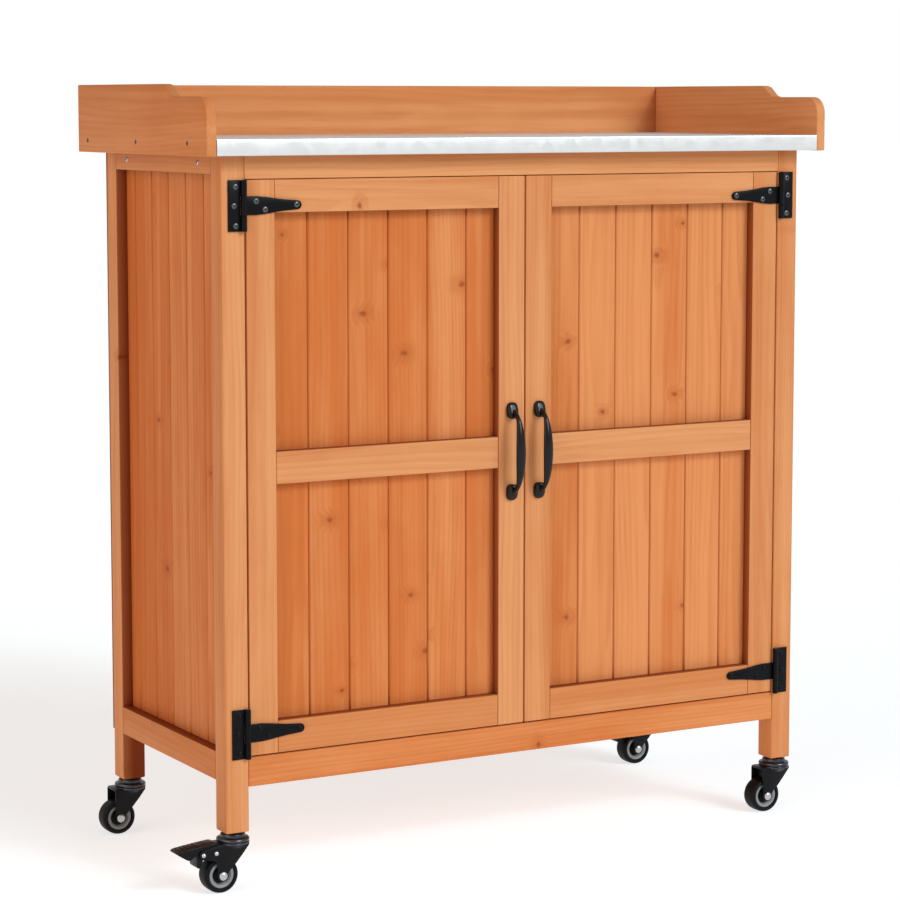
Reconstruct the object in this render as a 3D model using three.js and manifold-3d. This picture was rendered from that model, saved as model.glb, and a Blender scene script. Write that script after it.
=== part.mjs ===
// Potting bench on casters: a two-door fir cabinet under a steel-covered worktop with a gallery.
// Millimetres, +Z up, the doors face -Y, and the floor is at Z = 0.
import * as THREE from 'three';
import { mergeVertices } from 'three/addons/utils/BufferGeometryUtils.js';
import Module from 'manifold-3d';

const wasm = await Module();
wasm.setup();

// Driving dimensions
const GAP = 0.25;                   // joint line between neighbouring pieces
const FRAME = { width: 960, depth: 400, bottom: 84, top: 1023.75 };
const POST = 35;
const TABLE = { board: 19.75, halfWidth: 497, front: 225.75, steel: 1, lipBottom: 1021.5 };
const GALLERY = { thickness: 15, bottom: 1021, high: 1119, low: 1101.5, lowLength: 117, step: 23, corner: 25 };
const GALLERY_BACK = 230;
const RAIL = { depth: 28, frontLow: [147.5, 189], frontHigh: 991, sideLow: [154.5, 195.5], sideHigh: 996 };
const PANEL = { recess: 16.5, thickness: 8, groove: 2.5, grooveDepth: 2.5 };
const SIDE_PLANK = { first: 59.25, pitch: 60 };
const BACK_PANEL = { thickness: 5, bottom: 156 };
const FLOOR_BOARD = 12;
const SHELF = { thickness: 15, bottom: 578, batten: [15, 24] };
const DOOR = { bottom: 191, top: 989, thickness: 22, stile: 43, rail: 45.5, edgeGap: 2.5, centreGap: 2.5 };
const MID_RAIL = { bottom: 568.75, top: 614.25, thickness: 15.25 };
const DOOR_PLANK = { first: 57.25, pitch: 63.25, recess: 15.5, thickness: 6 };
const HINGE = { axisX: 448, radius: 4.25, plate: 2.5, leafWidth: 22.5, leafHeight: 70, strapRoot: 27.5 };
const STRAP = { length: 88.5, tipRadius: 6.25, collar: 25, waist: [48, 8.5] };
const HINGE_HEIGHTS = { lower: 223, upper: 954 };
const HANDLE = { x: 23, height: 592, span: 120, foot: [16.5, 24, 7], reach: 26.5, grip: 6.25 };
const CASTER = { trail: 22.5, wheel: 25.75, width: 26.5, axle: 3, head: 23.5, crown: [60, 70.75] };
const CAP = { radius: 21, bottom: 75, top: 82, bevel: 2 };
const STEM = { radius: 4.75, length: 26, nut: 9 };
const FORK = { inner: 14.25, plate: 2.25, boss: 8, shoulder: 18.5 };
const BRAKE = { pivot: [-51.5, 58.5], eye: 6.5, halfWidth: 13.75, tip: 90 };

const HALF_WIDTH = FRAME.width / 2;
const HALF_DEPTH = FRAME.depth / 2;
const INNER_X = HALF_WIDTH - POST;
const INNER_Y = HALF_DEPTH - POST;
const CORNER_X = HALF_WIDTH - POST / 2;
const CORNER_Y = HALF_DEPTH - POST / 2;
const TABLE_TOP = FRAME.top + GAP + TABLE.board + GAP + TABLE.steel;
const GALLERY_OUTER = TABLE.halfWidth + GAP + GALLERY.thickness;
const HANDLE_FRONT = HALF_DEPTH + GAP + HANDLE.reach + HANDLE.grip;

const WOOD = { colour: 0xd98a52, roughness: 0.55, metalness: 0 };
const WOOD_DARK = { colour: 0xb9683a, roughness: 0.6, metalness: 0 };
const STEEL = { colour: 0xcfd2d4, roughness: 0.35, metalness: 0.9 };
const BLACK = { colour: 0x141414, roughness: 0.4, metalness: 0.6 };
const ZINC = { colour: 0x9a9ea2, roughness: 0.35, metalness: 0.9 };
const RUBBER = { colour: 0x1b1b1b, roughness: 0.7, metalness: 0 };

// Helpers
function addMesh(parent, name, geometry, finish) {
  const material = new THREE.MeshStandardMaterial({
    color: finish.colour,
    roughness: finish.roughness,
    metalness: finish.metalness,
  });
  const mesh = new THREE.Mesh(geometry, material);
  mesh.name = name;
  parent.add(mesh);
  return mesh;
}

// A box between two limits on each axis.
function block([x0, x1], [y0, y1], [z0, z1]) {
  const geometry = new THREE.BoxGeometry(Math.abs(x1 - x0), Math.abs(y1 - y0), Math.abs(z1 - z0));
  geometry.translate((x0 + x1) / 2, (y0 + y1) / 2, (z0 + z1) / 2);
  return geometry;
}

// A cylinder along X, Y or Z between two limits, centred on the other two coordinates.
function rod(axis, radius, [low, high], centre, sides = 16) {
  const geometry = new THREE.CylinderGeometry(radius, radius, high - low, sides);
  const middle = (low + high) / 2;
  if (axis === 'z') {
    geometry.rotateX(Math.PI / 2);
    geometry.translate(centre[0], centre[1], middle);
  } else if (axis === 'y') {
    geometry.translate(centre[0], middle, centre[1]);
  } else {
    geometry.rotateZ(Math.PI / 2);
    geometry.translate(middle, centre[0], centre[1]);
  }
  return geometry;
}

function outline(points) {
  return new THREE.Shape(points.map(([a, b]) => new THREE.Vector2(a, b)));
}

// An outline in X and Y, raised between two heights.
function raised(shape, [low, high], curveSegments = 6) {
  const geometry = new THREE.ExtrudeGeometry(shape, { depth: high - low, bevelEnabled: false, curveSegments });
  geometry.translate(0, 0, low);
  return geometry;
}

// An outline in X and Z, carried along Y.
function alongY(shape, [low, high], curveSegments = 6) {
  const geometry = new THREE.ExtrudeGeometry(shape, { depth: high - low, bevelEnabled: false, curveSegments });
  geometry.rotateX(Math.PI / 2);
  geometry.translate(0, high, 0);
  return geometry;
}

// An outline in Y and Z, carried along X.
function alongX(shape, [low, high], curveSegments = 6) {
  const geometry = new THREE.ExtrudeGeometry(shape, { depth: high - low, bevelEnabled: false, curveSegments });
  geometry.rotateX(Math.PI / 2);
  geometry.rotateZ(Math.PI / 2);
  geometry.translate(low, 0, 0);
  return geometry;
}

function solid(geometry) {
  const bare = geometry.clone();
  bare.deleteAttribute('normal');
  bare.deleteAttribute('uv');
  const merged = mergeVertices(bare, 1e-4);
  return new wasm.Manifold(new wasm.Mesh({
    numProp: 3,
    vertProperties: new Float32Array(merged.attributes.position.array),
    triVerts: new Uint32Array(merged.index.array),
  }));
}

function geometryOf(manifold) {
  const mesh = manifold.getMesh();
  const geometry = new THREE.BufferGeometry();
  geometry.setAttribute('position', new THREE.BufferAttribute(new Float32Array(mesh.vertProperties), 3));
  geometry.setIndex(new THREE.BufferAttribute(new Uint32Array(mesh.triVerts), 1));
  geometry.computeVertexNormals();
  return geometry;
}

function joined(...geometries) {
  return geometryOf(geometries.map(solid).reduce((all, next) => all.add(next)));
}

function cut(geometry, ...tools) {
  return geometryOf(tools.map(solid).reduce((rest, tool) => rest.subtract(tool), solid(geometry)));
}

// Section of a planked panel: a flat back and a V groove at each joint between planks on the front.
// Runs from `start` to `end` along the panel, with the face towards lower values of the second coordinate.
function plankSection(start, end, { first, pitch }, thickness) {
  const half = PANEL.groove / 2;
  const points = [[start, 0]];
  for (let joint = start + first; joint < end - pitch / 3; joint += pitch) {
    points.push([joint - half, 0], [joint, PANEL.grooveDepth], [joint + half, 0]);
  }
  points.push([end, 0], [end, thickness], [start, thickness]);
  return points;
}

// Frame
function buildPosts(parent) {
  for (const [side, sx] of [['left', -1], ['right', 1]]) {
    for (const [end, sy] of [['front', -1], ['back', 1]]) {
      const x = [sx * INNER_X, sx * HALF_WIDTH];
      const y = [sy * INNER_Y, sy * HALF_DEPTH];
      const post = block(x, y, [FRAME.bottom, FRAME.top]);
      const bore = [FRAME.bottom - 1, FRAME.bottom + STEM.length + 2];
      const drill = rod('z', STEM.radius + GAP, bore, [sx * CORNER_X, sy * CORNER_Y]);
      addMesh(parent, `post_${end}_${side}`, cut(post, drill), WOOD);
    }
  }
}

function buildRails(parent) {
  const span = [-INNER_X + GAP, INNER_X - GAP];
  const front = [-HALF_DEPTH, -HALF_DEPTH + RAIL.depth];
  const back = [HALF_DEPTH - RAIL.depth, HALF_DEPTH];
  addMesh(parent, 'front_top_rail', block(span, front, [RAIL.frontHigh, FRAME.top]), WOOD);
  addMesh(parent, 'front_bottom_rail', block(span, front, RAIL.frontLow), WOOD);
  addMesh(parent, 'back_top_rail', block(span, back, [RAIL.sideHigh, FRAME.top]), WOOD);
  addMesh(parent, 'back_bottom_rail', block(span, back, RAIL.sideLow), WOOD);
  for (const [side, sx] of [['left', -1], ['right', 1]]) {
    const x = [sx * (HALF_WIDTH - RAIL.depth), sx * HALF_WIDTH];
    const y = [-INNER_Y + GAP, INNER_Y - GAP];
    addMesh(parent, `${side}_side_top_rail`, block(x, y, [RAIL.sideHigh, FRAME.top]), WOOD);
    addMesh(parent, `${side}_side_bottom_rail`, block(x, y, RAIL.sideLow), WOOD);
  }
}

function buildSidePanels(parent) {
  const face = HALF_WIDTH - PANEL.recess;
  const height = [RAIL.sideLow[1] + GAP, RAIL.sideHigh - GAP];
  const section = plankSection(-INNER_Y + GAP, INNER_Y - GAP, SIDE_PLANK, PANEL.thickness);
  for (const [side, sx] of [['left', -1], ['right', 1]]) {
    const shape = outline(section.map(([along, inward]) => [sx * (face - inward), along]));
    addMesh(parent, `${side}_side_panel`, raised(shape, height), WOOD);
  }
}

function buildBackPanel(parent) {
  const x = [-HALF_WIDTH + GAP, HALF_WIDTH - GAP];
  const y = [HALF_DEPTH + GAP, HALF_DEPTH + GAP + BACK_PANEL.thickness];
  addMesh(parent, 'back_panel', block(x, y, [BACK_PANEL.bottom, FRAME.top - GAP]), WOOD_DARK);
}

// Inside
function buildInside(parent) {
  const doorBack = -HALF_DEPTH + DOOR.thickness + 0.5;
  const railX = HALF_WIDTH - RAIL.depth - GAP;
  const railY = HALF_DEPTH - RAIL.depth - GAP;
  const cornerX = INNER_X - GAP;
  const cornerY = INNER_Y - GAP;
  const floor = outline([
    [-cornerX, doorBack], [cornerX, doorBack], [cornerX, -cornerY], [railX, -cornerY],
    [railX, cornerY], [cornerX, cornerY], [cornerX, railY], [-cornerX, railY],
    [-cornerX, cornerY], [-railX, cornerY], [-railX, -cornerY], [-cornerX, -cornerY],
  ]);
  const floorBottom = RAIL.frontLow[1] + GAP;
  addMesh(parent, 'cabinet_floor', raised(floor, [floorBottom, floorBottom + FLOOR_BOARD]), WOOD_DARK);

  const shelf = block([-cornerX, cornerX], [doorBack, HALF_DEPTH], [SHELF.bottom, SHELF.bottom + SHELF.thickness]);
  addMesh(parent, 'shelf', shelf, WOOD_DARK);
  const [battenWidth, battenHeight] = SHELF.batten;
  const battenTop = SHELF.bottom - GAP;
  for (const [side, sx] of [['left', -1], ['right', 1]]) {
    const x = [sx * (cornerX - battenWidth), sx * cornerX];
    const batten = block(x, [doorBack + 4, HALF_DEPTH - 4], [battenTop - battenHeight, battenTop]);
    addMesh(parent, `${side}_shelf_batten`, batten, WOOD_DARK);
  }
}

// Worktop and gallery
function buildWorktop(parent) {
  const bottom = FRAME.top + GAP;
  const back = GALLERY_BACK - GALLERY.thickness - GAP;
  const board = block(
    [-TABLE.halfWidth, TABLE.halfWidth],
    [-TABLE.front + TABLE.steel + GAP, back],
    [bottom, bottom + TABLE.board],
  );
  addMesh(parent, 'tabletop_board', board, WOOD_DARK);
  const sheet = outline([
    [back, TABLE_TOP], [-TABLE.front, TABLE_TOP], [-TABLE.front, TABLE.lipBottom],
    [-TABLE.front + TABLE.steel, TABLE.lipBottom],
    [-TABLE.front + TABLE.steel, TABLE_TOP - TABLE.steel], [back, TABLE_TOP - TABLE.steel],
  ]);
  addMesh(parent, 'steel_top', alongX(sheet, [-TABLE.halfWidth, TABLE.halfWidth]), STEEL);
}

// Side board of the gallery: high at the back, stepped down to a rounded front corner.
function galleryOutline() {
  const lowEnd = -TABLE.front + GALLERY.lowLength;
  const shape = new THREE.Shape();
  shape.moveTo(-TABLE.front, GALLERY.bottom);
  shape.lineTo(GALLERY_BACK, GALLERY.bottom);
  shape.lineTo(GALLERY_BACK, GALLERY.high);
  shape.lineTo(lowEnd + GALLERY.step, GALLERY.high);
  shape.lineTo(lowEnd, GALLERY.low);
  shape.lineTo(-TABLE.front + GALLERY.corner, GALLERY.low);
  shape.absarc(-TABLE.front + GALLERY.corner, GALLERY.low - GALLERY.corner, GALLERY.corner, Math.PI / 2, Math.PI);
  shape.closePath();
  return shape;
}

function buildGallery(parent) {
  const inner = TABLE.halfWidth + GAP;
  addMesh(parent, 'gallery_left', alongX(galleryOutline(), [-GALLERY_OUTER, -inner], 8), WOOD);
  addMesh(parent, 'gallery_right', alongX(galleryOutline(), [inner, GALLERY_OUTER], 8), WOOD);
  const y = [GALLERY_BACK - GALLERY.thickness, GALLERY_BACK];
  const back = block([-TABLE.halfWidth, TABLE.halfWidth], y, [GALLERY.bottom, GALLERY.high]);
  addMesh(parent, 'gallery_back', back, WOOD);
}

// T hinges: a leaf on the post with two knuckles, and a tapered strap on the door with the middle one.
const HINGE_Y = -HALF_DEPTH - GAP - HINGE.radius;
const PLATE_BACK = -HALF_DEPTH - GAP;

function buildHingeLeaf(parent, name, sx, height) {
  const half = HINGE.leafHeight / 2;
  const axis = [sx * HINGE.axisX, HINGE_Y];
  const plateX = [axis[0], axis[0] + sx * HINGE.leafWidth];
  const plate = block(plateX, [PLATE_BACK - HINGE.plate, PLATE_BACK], [height - half, height + half]);
  const barrel = rod('z', HINGE.radius, [height - half, height + half], axis);
  const notchHalf = HINGE.strapRoot / 2 + GAP;
  const notchX = [axis[0] - sx * 6, axis[0] + sx * (HINGE.radius + GAP)];
  const notch = block(notchX, [HINGE_Y - 6, HINGE_Y + 6], [height - notchHalf, height + notchHalf]);
  addMesh(parent, name, cut(joined(plate, barrel), notch), BLACK);
}

function strapOutline(sx, x, height) {
  const root = HINGE.strapRoot / 2;
  const tipX = STRAP.length - STRAP.tipRadius;
  const [waistAt, waistHalf] = STRAP.waist;
  const points = [[0, -root], [STRAP.collar, -root], [waistAt, -waistHalf]];
  const steps = 8;
  for (let step = 0; step <= steps; step += 1) {
    const angle = Math.PI * (step / steps - 0.5);
    points.push([tipX + STRAP.tipRadius * Math.cos(angle), STRAP.tipRadius * Math.sin(angle)]);
  }
  points.push([waistAt, waistHalf], [STRAP.collar, root], [0, root]);
  return outline(points.map(([along, up]) => [x - sx * along, height + up]));
}

function buildHingeStrap(parent, name, sx, height) {
  const half = HINGE.strapRoot / 2;
  const x = sx * HINGE.axisX;
  const knuckle = rod('z', HINGE.radius, [height - half, height + half], [x, HINGE_Y]);
  const strap = alongY(strapOutline(sx, x, height), [PLATE_BACK - HINGE.plate, PLATE_BACK]);
  addMesh(parent, name, joined(knuckle, strap), BLACK);
}

// Doors
function buildDoor(side, sx) {
  const door = new THREE.Group();
  const outer = INNER_X - DOOR.edgeGap;
  const meeting = DOOR.centreGap / 2;
  const [low, high] = sx < 0 ? [-outer, -meeting] : [meeting, outer];
  const depth = [-HALF_DEPTH, -HALF_DEPTH + DOOR.thickness];
  const stiles = { hinge: sx * outer, meeting: sx * meeting };
  for (const [role, edge] of Object.entries(stiles)) {
    const inward = role === 'hinge' ? -sx : sx;
    const x = [edge, edge + inward * DOOR.stile];
    addMesh(door, `${side}_door_${role}_stile`, block(x, depth, [DOOR.bottom, DOOR.top]), WOOD);
  }

  const between = [low + DOOR.stile + GAP, high - DOOR.stile - GAP];
  const topRail = [DOOR.top - DOOR.rail, DOOR.top];
  const bottomRail = [DOOR.bottom, DOOR.bottom + DOOR.rail];
  addMesh(door, `${side}_door_top_rail`, block(between, depth, topRail), WOOD);
  addMesh(door, `${side}_door_bottom_rail`, block(between, depth, bottomRail), WOOD);
  const midDepth = [-HALF_DEPTH, -HALF_DEPTH + MID_RAIL.thickness];
  addMesh(door, `${side}_door_mid_rail`, block(between, midDepth, [MID_RAIL.bottom, MID_RAIL.top]), WOOD);

  const face = -HALF_DEPTH + DOOR_PLANK.recess;
  const section = plankSection(between[0], between[1], DOOR_PLANK, DOOR_PLANK.thickness);
  const shape = outline(section.map(([along, inward]) => [along, face + inward]));
  addMesh(door, `${side}_door_panel`, raised(shape, [bottomRail[1] + GAP, topRail[0] - GAP]), WOOD);

  for (const [place, height] of Object.entries(HINGE_HEIGHTS)) {
    buildHingeStrap(door, `${side}_${place}_hinge_strap`, sx, height);
  }
  addMesh(door, `${side}_door_handle`, handleGeometry(sx * HANDLE.x), BLACK);
  return door;
}

// Bow handle: two rounded feet on the door and a grip swept between them.
function handleGeometry(x) {
  const seat = -HALF_DEPTH - GAP;
  const half = HANDLE.span / 2;
  const path = [
    [-1, half], [-7, half - 3], [-16, half - 11], [-22, half - 22], [-HANDLE.reach, 0],
    [-22, -half + 22], [-16, -half + 11], [-7, -half + 3], [-1, -half],
  ];
  const curve = new THREE.CatmullRomCurve3(
    path.map(([out, up]) => new THREE.Vector3(x, seat + out, HANDLE.height + up)),
  );
  const section = new THREE.Shape();
  section.absellipse(0, 0, HANDLE.grip, HANDLE.grip, 0, Math.PI * 2);
  const bow = new THREE.ExtrudeGeometry(section, { steps: 26, curveSegments: 5, extrudePath: curve });
  const [footWidth, footHeight, footDepth] = HANDLE.foot;
  const feet = [half, -half].map((up) => {
    const foot = new THREE.Shape();
    foot.absellipse(x, HANDLE.height + up, footWidth / 2, footHeight / 2, 0, Math.PI * 2);
    return alongY(foot, [seat - footDepth, seat], 5);
  });
  const behind = block([x - 20, x + 20], [seat, seat + 20], [HANDLE.height - half - 20, HANDLE.height + half + 20]);
  return cut(joined(bow, ...feet), behind);
}

// Casters, each about its own swivel axis and trailing towards -X
function buildStem(caster, place) {
  const stemTop = FRAME.bottom + STEM.length;
  const profile = [
    [0, stemTop], [STEM.radius, stemTop], [STEM.radius, FRAME.bottom - GAP], [STEM.nut, FRAME.bottom - GAP],
    [STEM.nut, CAP.top], [CAP.radius - CAP.bevel, CAP.top], [CAP.radius, CAP.top - CAP.bevel],
    [CAP.radius, CAP.bottom], [CASTER.head, CAP.bottom - 1], [CASTER.head, CASTER.crown[1] + GAP],
    [0, CASTER.crown[1] + GAP],
  ];
  const stem = new THREE.LatheGeometry(profile.map(([r, z]) => new THREE.Vector2(r, z)).reverse(), 20);
  stem.rotateX(Math.PI / 2);
  addMesh(caster, `caster_${place}_stem`, stem, ZINC);
}

function forkOutline(braked) {
  const top = CASTER.crown[1] - 1;
  const back = -CASTER.trail - FORK.boss;
  const shape = new THREE.Shape();
  shape.moveTo(FORK.shoulder, top);
  shape.lineTo(FORK.shoulder - 0.5, top - 4);
  shape.lineTo(-1, CASTER.wheel + 17);
  shape.lineTo(-CASTER.trail + FORK.boss, CASTER.wheel + 6);
  shape.lineTo(-CASTER.trail + FORK.boss, CASTER.wheel);
  shape.absarc(-CASTER.trail, CASTER.wheel, FORK.boss, 0, Math.PI, true);
  if (braked) {
    const [pivotX, pivotZ] = BRAKE.pivot;
    shape.lineTo(back, pivotZ - 18);
    shape.lineTo(back - 5.5, pivotZ - 10.5);
    shape.lineTo(pivotX, pivotZ - BRAKE.eye);
    shape.absarc(pivotX, pivotZ, BRAKE.eye, -Math.PI / 2, Math.PI / 2, true);
    shape.lineTo(back, top);
  } else {
    shape.lineTo(back, top);
  }
  shape.closePath();
  return shape;
}

function buildFork(caster, place, braked) {
  const cheeks = [-1, 1].map((sy) => {
    const faces = [sy * FORK.inner, sy * (FORK.inner + FORK.plate)].sort((a, b) => a - b);
    return alongY(forkOutline(braked), faces, 5);
  });
  const crown = rod('z', CASTER.head, CASTER.crown, [0, 0], 24);
  const axleEnds = FORK.inner + FORK.plate + 2;
  const axle = rod('y', CASTER.axle, [-axleEnds, axleEnds], [-CASTER.trail, CASTER.wheel], 12);
  addMesh(caster, `caster_${place}_fork`, joined(crown, ...cheeks, axle), BLACK);
}

function buildWheel(caster, place) {
  const half = CASTER.width / 2;
  const bore = CASTER.axle + GAP;
  const profile = [
    [bore, -half + 1], [9, -half + 1], [12, -half + 4], [16, -half + 4], [18.5, -half], [23, -half],
    [CASTER.wheel, -half + 3], [CASTER.wheel, half - 3], [23, half], [18.5, half], [16, half - 4],
    [12, half - 4], [9, half - 1], [bore, half - 1], [bore, -half + 1],
  ];
  const wheel = new THREE.LatheGeometry(profile.map(([r, y]) => new THREE.Vector2(r, y)), 32);
  wheel.translate(-CASTER.trail, 0, CASTER.wheel);
  addMesh(caster, `caster_${place}_wheel`, wheel, RUBBER);
}

// Foot pedal between the fork's cheeks: a tread plate with a shoe that reaches down beside the tyre.
function buildBrakePedal(caster, place) {
  const [pivotX, pivotZ] = BRAKE.pivot;
  const root = -CASTER.head - 3.5;
  const pedal = outline([
    [root, pivotZ + 5.5], [root, pivotZ + 13], [root - 4, pivotZ + 14.5], [-60, 70.5], [-BRAKE.tip + 4, 67],
    [-BRAKE.tip, 65.5], [-BRAKE.tip + 1, 62.5], [-74.5, 53.5], [-69.5, 52.5], [pivotX - 10, 57], [-60.5, 50],
    [-60.5, 42], [-58.5, 39.5], [-55, 40], [pivotX - 1, 50], [pivotX + 5, 54], [pivotX + 13, 56],
  ]);
  const lever = alongY(pedal, [-BRAKE.halfWidth, BRAKE.halfWidth]);
  addMesh(caster, `caster_${place}_brake_pedal`, lever, BLACK);
}

function buildCaster(place, sx, sy, braked) {
  const caster = new THREE.Group();
  buildStem(caster, place);
  buildFork(caster, place, braked);
  buildWheel(caster, place);
  if (braked) {
    buildBrakePedal(caster, place);
  }
  caster.position.set(sx * CORNER_X, sy * CORNER_Y, 0);
  return caster;
}

// Assembly, moved so that the origin is the middle of the whole bench on the floor
const group = new THREE.Group();
buildPosts(group);
buildRails(group);
buildSidePanels(group);
buildBackPanel(group);
buildInside(group);
buildWorktop(group);
buildGallery(group);
for (const [side, sx] of [['left', -1], ['right', 1]]) {
  for (const [place, height] of Object.entries(HINGE_HEIGHTS)) {
    buildHingeLeaf(group, `${side}_${place}_hinge_leaf`, sx, height);
  }
  group.add(buildDoor(side, sx));
}
group.add(buildCaster('front_left', -1, -1, true));
group.add(buildCaster('front_right', 1, -1, false));
group.add(buildCaster('back_left', -1, 1, false));
group.add(buildCaster('back_right', 1, 1, true));

const leftEnd = -CORNER_X - BRAKE.tip;
group.position.set(-(leftEnd + GALLERY_OUTER) / 2, -(GALLERY_BACK - HANDLE_FRONT) / 2, 0);

export default group;
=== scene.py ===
"""Looks of the rolling potting bench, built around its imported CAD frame."""

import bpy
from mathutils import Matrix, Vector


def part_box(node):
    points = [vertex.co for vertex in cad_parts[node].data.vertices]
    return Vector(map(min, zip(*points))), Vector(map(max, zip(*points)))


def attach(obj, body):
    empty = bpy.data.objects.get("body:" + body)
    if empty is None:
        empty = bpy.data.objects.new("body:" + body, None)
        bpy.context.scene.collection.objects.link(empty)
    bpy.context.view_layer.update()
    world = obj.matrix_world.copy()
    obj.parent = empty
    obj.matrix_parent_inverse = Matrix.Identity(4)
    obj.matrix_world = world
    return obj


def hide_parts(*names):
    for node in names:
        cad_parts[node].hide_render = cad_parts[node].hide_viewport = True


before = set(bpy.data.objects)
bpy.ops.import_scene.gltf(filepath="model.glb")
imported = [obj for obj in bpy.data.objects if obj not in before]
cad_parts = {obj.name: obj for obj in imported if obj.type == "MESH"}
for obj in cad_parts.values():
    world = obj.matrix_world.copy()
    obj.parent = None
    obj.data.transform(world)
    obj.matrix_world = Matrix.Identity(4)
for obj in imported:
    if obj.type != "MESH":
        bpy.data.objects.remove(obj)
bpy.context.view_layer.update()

import logging
import math
import random
from dataclasses import dataclass, field
from enum import Enum
from typing import Iterable, Optional, Sequence

import bmesh
import bpy
from mathutils import Matrix, Vector

log = logging.getLogger("potting_bench")
MM = 0.001

Colour = tuple[float, float, float]
Point2 = tuple[float, float]


class Axis(Enum):
    """A row axis, by its index."""

    X = 0
    Y = 1
    Z = 2


class Side(Enum):
    """A side of the bench, by the sign of its X."""

    LEFT = -1
    RIGHT = 1

    @property
    def word(self) -> str:
        """The side's name as it stands in node names."""
        return self.name.lower()


# ---------------------------------------------------------------------------
# Shader building
# ---------------------------------------------------------------------------


class Sock:
    """An output socket that can be used in Python expressions."""

    def __init__(self, graph: "Graph", socket: bpy.types.NodeSocket) -> None:
        """Wraps a socket of a graph."""
        self.graph = graph
        self.socket = socket

    def _math(self, operation: str, first: object, second: object) -> "Sock":
        """Adds one Math node for two operands."""
        return self.graph.node("ShaderNodeMath", {"operation": operation}, {0: first, 1: second})

    def __add__(self, other: object) -> "Sock":
        """Sum."""
        return self._math("ADD", self, other)

    __radd__ = __add__

    def __sub__(self, other: object) -> "Sock":
        """Difference."""
        return self._math("SUBTRACT", self, other)

    def __rsub__(self, other: object) -> "Sock":
        """Reflected difference."""
        return self._math("SUBTRACT", other, self)

    def __mul__(self, other: object) -> "Sock":
        """Product."""
        return self._math("MULTIPLY", self, other)

    __rmul__ = __mul__

    def __truediv__(self, other: object) -> "Sock":
        """Quotient."""
        return self._math("DIVIDE", self, other)

    def __pow__(self, other: object) -> "Sock":
        """Power."""
        return self._math("POWER", self, other)

    def fract(self) -> "Sock":
        """The fractional part."""
        return self._math("FRACT", self, 0.0)

    def above(self, limit: float) -> "Sock":
        """One where the value is over a limit, else zero."""
        return self._math("GREATER_THAN", self, limit)

    def step(self, low: object, high: object) -> "Sock":
        """A smooth rise from zero at `low` to one at `high`.

        Args:
            low: Value or socket where the rise starts.
            high: Value or socket where it ends.

        Returns:
            The eased value, from zero to one.
        """
        settings = {"interpolation_type": "SMOOTHSTEP", "clamp": True}
        return self.graph.node("ShaderNodeMapRange", settings, {0: self, 1: low, 2: high, 3: 0.0, 4: 1.0})


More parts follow.
